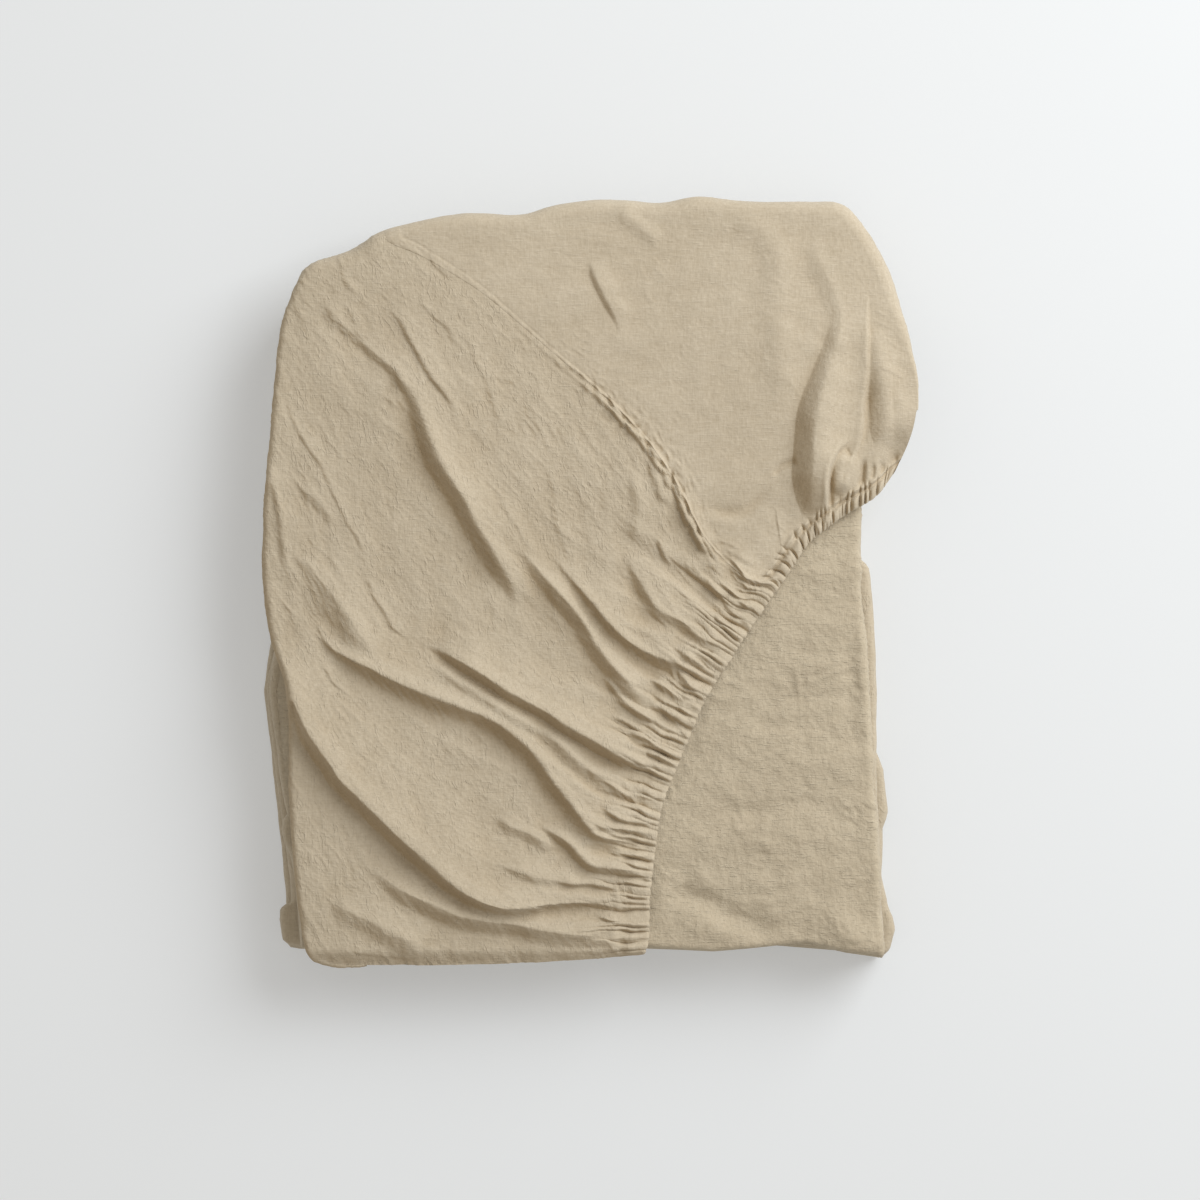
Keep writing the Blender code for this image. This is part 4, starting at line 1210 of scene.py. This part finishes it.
@dataclass
class Layers:
    """Lower layers of the bundle, one strip of cloth that runs back and forth."""

    bundle: Bundle
    rows: int = 200
    panel_rows: int = 250
    seen_to: float = 0.43
    split_at: int = 5

    def place_row(self, x_of: Callable[[np.ndarray], np.ndarray], share: np.ndarray,
                  level: float) -> tuple[np.ndarray, np.ndarray]:
        """Points of one column of a layer.

        Args:
            x_of: x as a function of y.
            share: share of the way from front to back, for each row.
            level: layers counted from the lowest.

        Returns:
            The rows' places along X and Y.
        """
        bundle = self.bundle
        y = SIDES[0, 0] * (1 - share) + SIDES[-1, 0] * share
        for _ in range(3):
            x = x_of(y)
            ragged = bundle.ragged * np.sin(1.7 * level + x / 41.0)
            spread = bundle.spread * max(bundle.layers - 1 - level, 0.0)
            y = (bundle.front(x) + ragged - spread) * (1 - share) + (bundle.back(x) + ragged) * share
        return x_of(y), y

    def column(self, layer: int, stop: float, share: np.ndarray) -> np.ndarray:
        """Points and normal of one column of a layer.

        Args:
            layer: the layer, from the lowest.
            stop: share of the way along the layer, in the order of the cloth.
            share: share of the way from front to back, for each row.

        Returns:
            One row a point: x, y, z, and the normal's x and z.
        """
        bundle = self.bundle
        out = 1.0 if layer % 2 == 0 else -1.0
        radius = 0.5 * bundle.pitch

        def x_of(y: np.ndarray) -> np.ndarray:
            """Place along X of the column at each y."""
            if layer:
                start = bundle.turn_edge(layer - 1, y) + out * radius
            else:
                start = bundle.side(LEFT, y) + bundle.free_end_back
            if layer == bundle.layers - 1:
                end = bundle.side(LEFT, y) + bundle.top_end_back
            else:
                end = bundle.turn_edge(layer, y) - out * radius
            return start * (1 - stop) + end * stop

        x, y = self.place_row(x_of, share, layer)
        z = bundle.height(layer, x, y)
        return np.column_stack([x, y, z, np.zeros_like(x), np.full_like(x, -out)])

    def turn(self, layer: int, angle: float, share: np.ndarray) -> np.ndarray:
        """Points and normal of one column of the turn after a layer.

        Args:
            layer: the layer before the turn, from the lowest.
            angle: angle round the turn, from 0 to pi.
            share: share of the way from front to back, for each row.

        Returns:
            One row a point: x, y, z, and the normal's x and z.
        """
        bundle = self.bundle
        out = 1.0 if layer % 2 == 0 else -1.0
        level = layer + 0.5 - 0.5 * np.cos(angle)
        reach = out * 0.5 * bundle.pitch * (np.sin(angle) - 1.0)
        x, y = self.place_row(lambda y: bundle.turn_edge(layer, y) + reach, share, level)
        z = bundle.height(level, x, y)
        nx, nz = np.sin(angle), -out * np.cos(angle)
        return np.column_stack([x, y, z, np.full_like(x, nx), np.full_like(x, nz)])

    def build(self, name: str, stations: Sequence[Station], fine: int,
              creases: Creases, folds: Sequence[Fold] = ()) -> bpy.types.Object:
        """Build one stretch of the strip as a closed thin solid with round rims.

        Args:
            name: the piece's name.
            stations: columns in the order of the cloth.
            fine: steps from front to back.
            creases: small creases of the cloth.
            folds: given folds.

        Returns:
            The stretch.
        """
        share = np.linspace(0.0, 1.0, fine + 1)
        column = {Stretch.RUN: self.column, Stretch.TURN: self.turn}
        data = np.array([column[one.stretch](one.layer, one.value, share) for one in stations])
        middle, nx, nz = data[..., :3], data[..., 3], data[..., 4]
        normal = np.dstack([nx, np.zeros_like(nx), nz])
        steps = np.linalg.norm(np.diff(middle, axis=0), axis=2)
        run = np.concatenate([np.zeros((1, fine + 1)), np.cumsum(steps, axis=0)], axis=0)
        flat = np.dstack([middle[..., 1], run])
        half = 0.5 * self.bundle.cloth
        wrinkle = creases.relief(middle)
        for fold in folds:
            wrinkle += fold_relief(fold, middle[..., 0], middle[..., 1]) * np.maximum(nz, 0.0)
        rim = np.minimum(share, 1 - share) * (middle[:, -1, 1] - middle[:, 0, 1])[:, None]
        thick = half * np.sqrt(np.clip(1.0 - (1.0 - np.clip(rim / (1.3 * half), 0, 1)) ** 2, 0.01, 1.0))
        outer = middle + normal * (thick + wrinkle)[..., None]
        inner = middle - normal * (thick - np.clip(wrinkle, -2.0, 0.3))[..., None]
        count = outer.shape[0] * outer.shape[1]
        top = np.arange(count).reshape(outer.shape[:2])
        low = top + count
        rims = [np.stack([top[:, 0], low[:, 0]]), np.stack([low[:, -1], top[:, -1]]),
                np.stack([low[0], top[0]]), np.stack([top[-1], low[-1]])]
        faces = np.vstack([grid_faces(top), grid_faces(low)[:, ::-1]] + [grid_faces(r) for r in rims])
        points = np.vstack([outer.reshape(-1, 3), inner.reshape(-1, 3)])
        points[:, 2] = np.maximum(points[:, 2], 0.0)
        places = np.vstack([flat.reshape(-1, 2)] * 2) * MM
        return make_mesh(name, points, faces, places)

    def make(self, cloth: bpy.types.Material, level_cloth: bpy.types.Material) -> list[bpy.types.Object]:
        """Build and dress the top layer and the two stacks below it.

        Args:
            cloth: finish of the stacks.
            level_cloth: finish of the top layer.

        Returns:
            The three pieces.
        """
        top = self.bundle.layers - 1
        crumpled = Creases(41, angle=4.0, long=14.0, short=4.4, height=0.9, broad=1.5)
        panel = self.build("under_panel", panel_stations(top, self.seen_to), self.panel_rows, crumpled,
                           PANEL_FOLDS)
        dress(panel, level_cloth, Hold.FOLDED)
        upper = self.build("upper_layers", layer_stations(self.split_at, top - 1, 10, 4), self.rows,
                           Creases(51, height=0.15, broad=0.3))
        dress(upper, cloth, Hold.FOLDED)
        lower = self.build("lower_layers", layer_stations(0, self.split_at, 10, 4), self.rows,
                           Creases(61, height=0.15, broad=0.3))
        dress(lower, cloth, Hold.FOLDED)
        return [panel, upper, lower]


@dataclass(frozen=True)
class WashedCloth:
    """Washed beige cloth with uneven yarn."""

    name: str = "washed_cloth"
    pale: tuple[float, float, float] = (0.598, 0.528, 0.410)
    deep: tuple[float, float, float] = (0.432, 0.366, 0.265)
    roughness: float = 0.93
    sheen: float = 0.1
    crease_turn: float = -78.0
    crease_long: float = 0.0085
    crease_short: float = 0.0034
    slub: float = 0.5
    crease: float = 0.3
    bump: float = 0.00066

    def material(self) -> bpy.types.Material:
        """Build the material.

        Returns:
            The material, with weave, slubs, fine creases and shade painted into its folds.
        """
        material = bpy.data.materials.new(self.name)
        material.use_nodes = True
        tree = material.node_tree
        surface = tree.nodes["Principled BSDF"]
        surface.inputs["Roughness"].default_value = self.roughness
        surface.inputs["Sheen Weight"].default_value = self.sheen
        surface.inputs["Sheen Roughness"].default_value = 0.6
        surface.inputs["Specular IOR Level"].default_value = 0.2
        place = tree.nodes.new("ShaderNodeTexCoord")
        turned = tree.nodes.new("ShaderNodeMapping")
        turned.vector_type = "TEXTURE"
        turned.inputs["Rotation"].default_value = (0.0, 0.0, np.radians(self.crease_turn))
        turned.inputs["Scale"].default_value = (self.crease_long, self.crease_short, self.crease_short)
        tree.links.new(place.outputs["Object"], turned.inputs["Vector"])
        yarn = tree.nodes.new("ShaderNodeGroup")
        yarn.node_tree = crumpled_yarn()
        tree.links.new(place.outputs["Object"], yarn.inputs["Place"])
        tree.links.new(turned.outputs["Vector"], yarn.inputs["Crease place"])
        yarn.inputs["Pale"].default_value = (*self.pale, 1.0)
        yarn.inputs["Deep"].default_value = (*self.deep, 1.0)
        yarn.inputs["Slub"].default_value = self.slub
        yarn.inputs["Crease"].default_value = self.crease
        # Painted shade from the mesh's per-point mask: darker, warmer colour in creases and on slopes turned
        # from the light.
        fold = tree.nodes.new("ShaderNodeAttribute")
        fold.attribute_name = "painted_crease_shade"
        tree.links.new(fold.outputs["Fac"], yarn.inputs["Painted shade"])
        tree.links.new(yarn.outputs["Colour"], surface.inputs["Base Color"])
        bump = tree.nodes.new("ShaderNodeBump")
        bump.inputs["Strength"].default_value = 1.0
        bump.inputs["Distance"].default_value = self.bump
        tree.links.new(yarn.outputs["Height"], bump.inputs["Height"])
        tree.links.new(bump.outputs["Normal"], surface.inputs["Normal"])
        return material


def crumpled_yarn() -> bpy.types.ShaderNodeTree:
    """Group for the look of the yarn and its finest creases, with shade painted into its folds.

    Returns:
        The group: from a place on the cloth and a painted-shade mask to colour and height.
    """
    made = bpy.data.node_groups.get("crumpled_yarn")
    if made:
        return made
    group = bpy.data.node_groups.new("crumpled_yarn", "ShaderNodeTree")
    face = group.interface
    for name, kind in (("Place", "NodeSocketVector"), ("Crease place", "NodeSocketVector"),
                       ("Pale", "NodeSocketColor"), ("Deep", "NodeSocketColor"),
                       ("Slub", "NodeSocketFloat"), ("Crease", "NodeSocketFloat"),
                       ("Painted shade", "NodeSocketFloat")):
        face.new_socket(name, in_out="INPUT", socket_type=kind)
    face.new_socket("Colour", in_out="OUTPUT", socket_type="NodeSocketColor")
    face.new_socket("Height", in_out="OUTPUT", socket_type="NodeSocketFloat")
    nodes, links = group.nodes, group.links
    into, out = nodes.new("NodeGroupInput"), nodes.new("NodeGroupOutput")

    def noise(place: str, cell: tuple[float, float, float], detail: float) -> bpy.types.NodeSocket:
        """Noise with a cell of the given size.

        Args:
            place: the input that it reads its place from.
            cell: size of its cell along each axis.
            detail: how many finer levels it has.

        Returns:
            The noise, from 0 to 1.
        """
        scale = nodes.new("ShaderNodeVectorMath")
        scale.operation = "DIVIDE"
        scale.inputs[1].default_value = cell
        links.new(into.outputs[place], scale.inputs[0])
        node = nodes.new("ShaderNodeTexNoise")
        node.inputs["Scale"].default_value = 1.0
        node.inputs["Detail"].default_value = detail
        links.new(scale.outputs["Vector"], node.inputs["Vector"])
        return node.outputs["Fac"]

    def math(kind: str, one: bpy.types.NodeSocket,
             other: bpy.types.NodeSocket | float) -> bpy.types.NodeSocket:
        """One step of arithmetic.

        Args:
            kind: the step.
            one: its first value.
            other: its second value.

        Returns:
            The result.
        """
        node = nodes.new("ShaderNodeMath")
        node.operation = kind
        links.new(one, node.inputs[0])
        if isinstance(other, float):
            node.inputs[1].default_value = other
        else:
            links.new(other, node.inputs[1])
        return node.outputs[0]

    def span(value: bpy.types.NodeSocket, low: float, high: float) -> bpy.types.NodeSocket:
        """Share of the way from low to high.

        Args:
            value: the value.
            low: where the share is 0.
            high: where the share is 1.

        Returns:
            The share, kept between 0 and 1.
        """
        node = nodes.new("ShaderNodeMapRange")
        node.inputs["From Min"].default_value = low
        node.inputs["From Max"].default_value = high
        links.new(value, node.inputs["Value"])
        return node.outputs["Result"]

    warp = noise("Place", (0.0006, 0.006, 0.0006), 1.0)
    weft = noise("Place", (0.007, 0.0007, 0.0007), 1.0)
    crumple = noise("Place", (0.0017, 0.0016, 0.0017), 3.0)
    tone = noise("Place", (0.05, 0.04, 0.05), 2.0)
    where = span(noise("Place", (0.006, 0.006, 0.006), 2.0), 0.46, 0.64)
    crease = math("ABSOLUTE", math("SUBTRACT", noise("Crease place", (1.0, 1.0, 1.0), 2.0), 0.5), 0.0)
    crease = math("MULTIPLY", span(crease, 0.06, 0.0), where)
    slub = span(weft, 0.60, 0.78)
    yarn = math("MULTIPLY", math("ADD", warp, weft), 0.5)
    crease = math("MULTIPLY", crease, into.outputs["Crease"])
    streak = noise("Crease place", (0.7, 1.1, 1.0), 3.0)
    height = math("ADD", math("MULTIPLY", crumple, 0.56), crease)
    height = math("ADD", height, math("MULTIPLY", streak, 0.45))
    height = math("ADD", height, math("MULTIPLY", yarn, 0.25))
    height = math("ADD", height, math("MULTIPLY", math("MULTIPLY", slub, into.outputs["Slub"]), 0.3))
    links.new(height, out.inputs["Height"])
    shade = math("ADD", math("MULTIPLY", yarn, 0.5), math("MULTIPLY", tone, 0.25))
    shade = math("ADD", shade, math("MULTIPLY", crumple, 0.25))
    mix = nodes.new("ShaderNodeMix")
    mix.data_type = "RGBA"
    links.new(span(shade, 0.30, 0.70), mix.inputs["Factor"])
    links.new(into.outputs["Deep"], mix.inputs["A"])
    links.new(into.outputs["Pale"], mix.inputs["B"])
    # Painted shade: multiplies a warm brown into the colour where the mask marks a crease or a slope turned
    # from the light.
    shade_tint = nodes.new("ShaderNodeMix")
    shade_tint.data_type = "RGBA"
    shade_tint.blend_type = "MULTIPLY"
    links.new(into.outputs["Painted shade"], shade_tint.inputs["Factor"])
    links.new(mix.outputs["Result"], shade_tint.inputs["A"])
    shade_tint.inputs["B"].default_value = (0.80, 0.71, 0.58, 1.0)
    links.new(shade_tint.outputs["Result"], out.inputs["Colour"])
    return group


@dataclass
class Studio:
    """Pale floor, soft light and the camera straight above."""

    frame_width: float = 0.6
    middle: tuple[float, float] = (0.005, -0.010)
    subject_top: float = 0.045
    distance: float = 2.2
    floor: tuple[float, float, float] = (0.545, 0.575, 0.60)
    floor_glow: float = 0.26
    floor_half: float = 3.0
    window: tuple[float, float, float] = (1.3, 1.05, 1.3)
    window_size: float = 1.5
    window_power: float = 40.0
    room: tuple[float, float, float] = (1.0, 0.94, 0.86)
    room_light: float = 0.5
    sensor: float = 36.0

    def build(self) -> None:
        """Make the floor, the lights and the camera."""
        self.build_floor()
        self.light("key", self.window, self.window_size, self.window_power)
        scene = bpy.context.scene
        world = bpy.data.worlds.new("soft_room")
        world.use_nodes = True
        world.node_tree.nodes["Background"].inputs["Color"].default_value = (*self.room, 1.0)
        world.node_tree.nodes["Background"].inputs["Strength"].default_value = self.room_light
        scene.world = world
        scene.view_settings.view_transform = "Standard"
        camera = bpy.data.objects.new("camera", bpy.data.cameras.new("camera"))
        camera.location = (*self.middle, self.subject_top + self.distance)
        camera.data.sensor_width = self.sensor
        camera.data.lens = self.sensor * self.distance / self.frame_width
        camera.data.clip_end = 20.0
        scene.collection.objects.link(camera)
        scene.camera = camera

    def build_floor(self) -> None:
        """Make the pale floor."""
        half = self.floor_half
        mesh = bpy.data.meshes.new("floor")
        mesh.from_pydata([(-half, -half, 0), (half, -half, 0), (half, half, 0), (-half, half, 0)], [],
                         [(0, 1, 2, 3)])
        floor = bpy.data.objects.new("floor", mesh)
        bpy.context.scene.collection.objects.link(floor)
        paint = bpy.data.materials.new("pale_floor")
        paint.use_nodes = True
        surface = paint.node_tree.nodes["Principled BSDF"]
        surface.inputs["Base Color"].default_value = (*self.floor, 1.0)
        surface.inputs["Roughness"].default_value = 0.9
        surface.inputs["Emission Color"].default_value = (1.0, 1.0, 1.0, 1.0)
        surface.inputs["Emission Strength"].default_value = self.floor_glow
        mesh.materials.append(paint)

    def light(self, name: str, place: tuple[float, float, float], size: float, power: float) -> None:
        """Add one soft square light aimed at the bundle.

        Args:
            name: the light's name.
            place: where it stands, in metres.
            size: length of its side.
            power: its power in watts.
        """
        lamp = bpy.data.lights.new(name, "AREA")
        lamp.size = size
        lamp.energy = power
        stand = bpy.data.objects.new(name, lamp)
        stand.location = place
        way = -np.array(place)
        way = way / np.linalg.norm(way)
        stand.rotation_euler = (np.arccos(-way[2]), 0.0, np.arctan2(way[0], -way[1]) + np.pi)
        bpy.context.scene.collection.objects.link(stand)


def main() -> None:
    """Build every piece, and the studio."""
    logging.basicConfig(level=logging.INFO, format="%(message)s")
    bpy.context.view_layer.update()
    bundle = Bundle()
    cloth = WashedCloth().material()
    level_cloth = WashedCloth("level_cloth", pale=(0.592, 0.522, 0.396), crease_turn=4.0, crease=0.15,
                              slub=1.0, bump=0.00075).material()
    # The side panel's pale tone is a little lighter than the rest of the same cloth: painted light for the
    # panel nearest the light.
    smooth_lit_cloth = WashedCloth("smooth_lit_cloth", pale=(0.615, 0.545, 0.428), crease_turn=4.0, crease=0.1,
                               slub=1.0, bump=0.00032).material()
    pieces = Pocket(bundle).make(cloth, smooth_lit_cloth)
    pieces += Layers(bundle).make(cloth, level_cloth)
    for piece in pieces:
        log.info("%s: %d triangles", piece.name, sum(len(face.vertices) - 2 for face in piece.data.polygons))
    Studio().build()


if __name__ == "__main__":
    main()
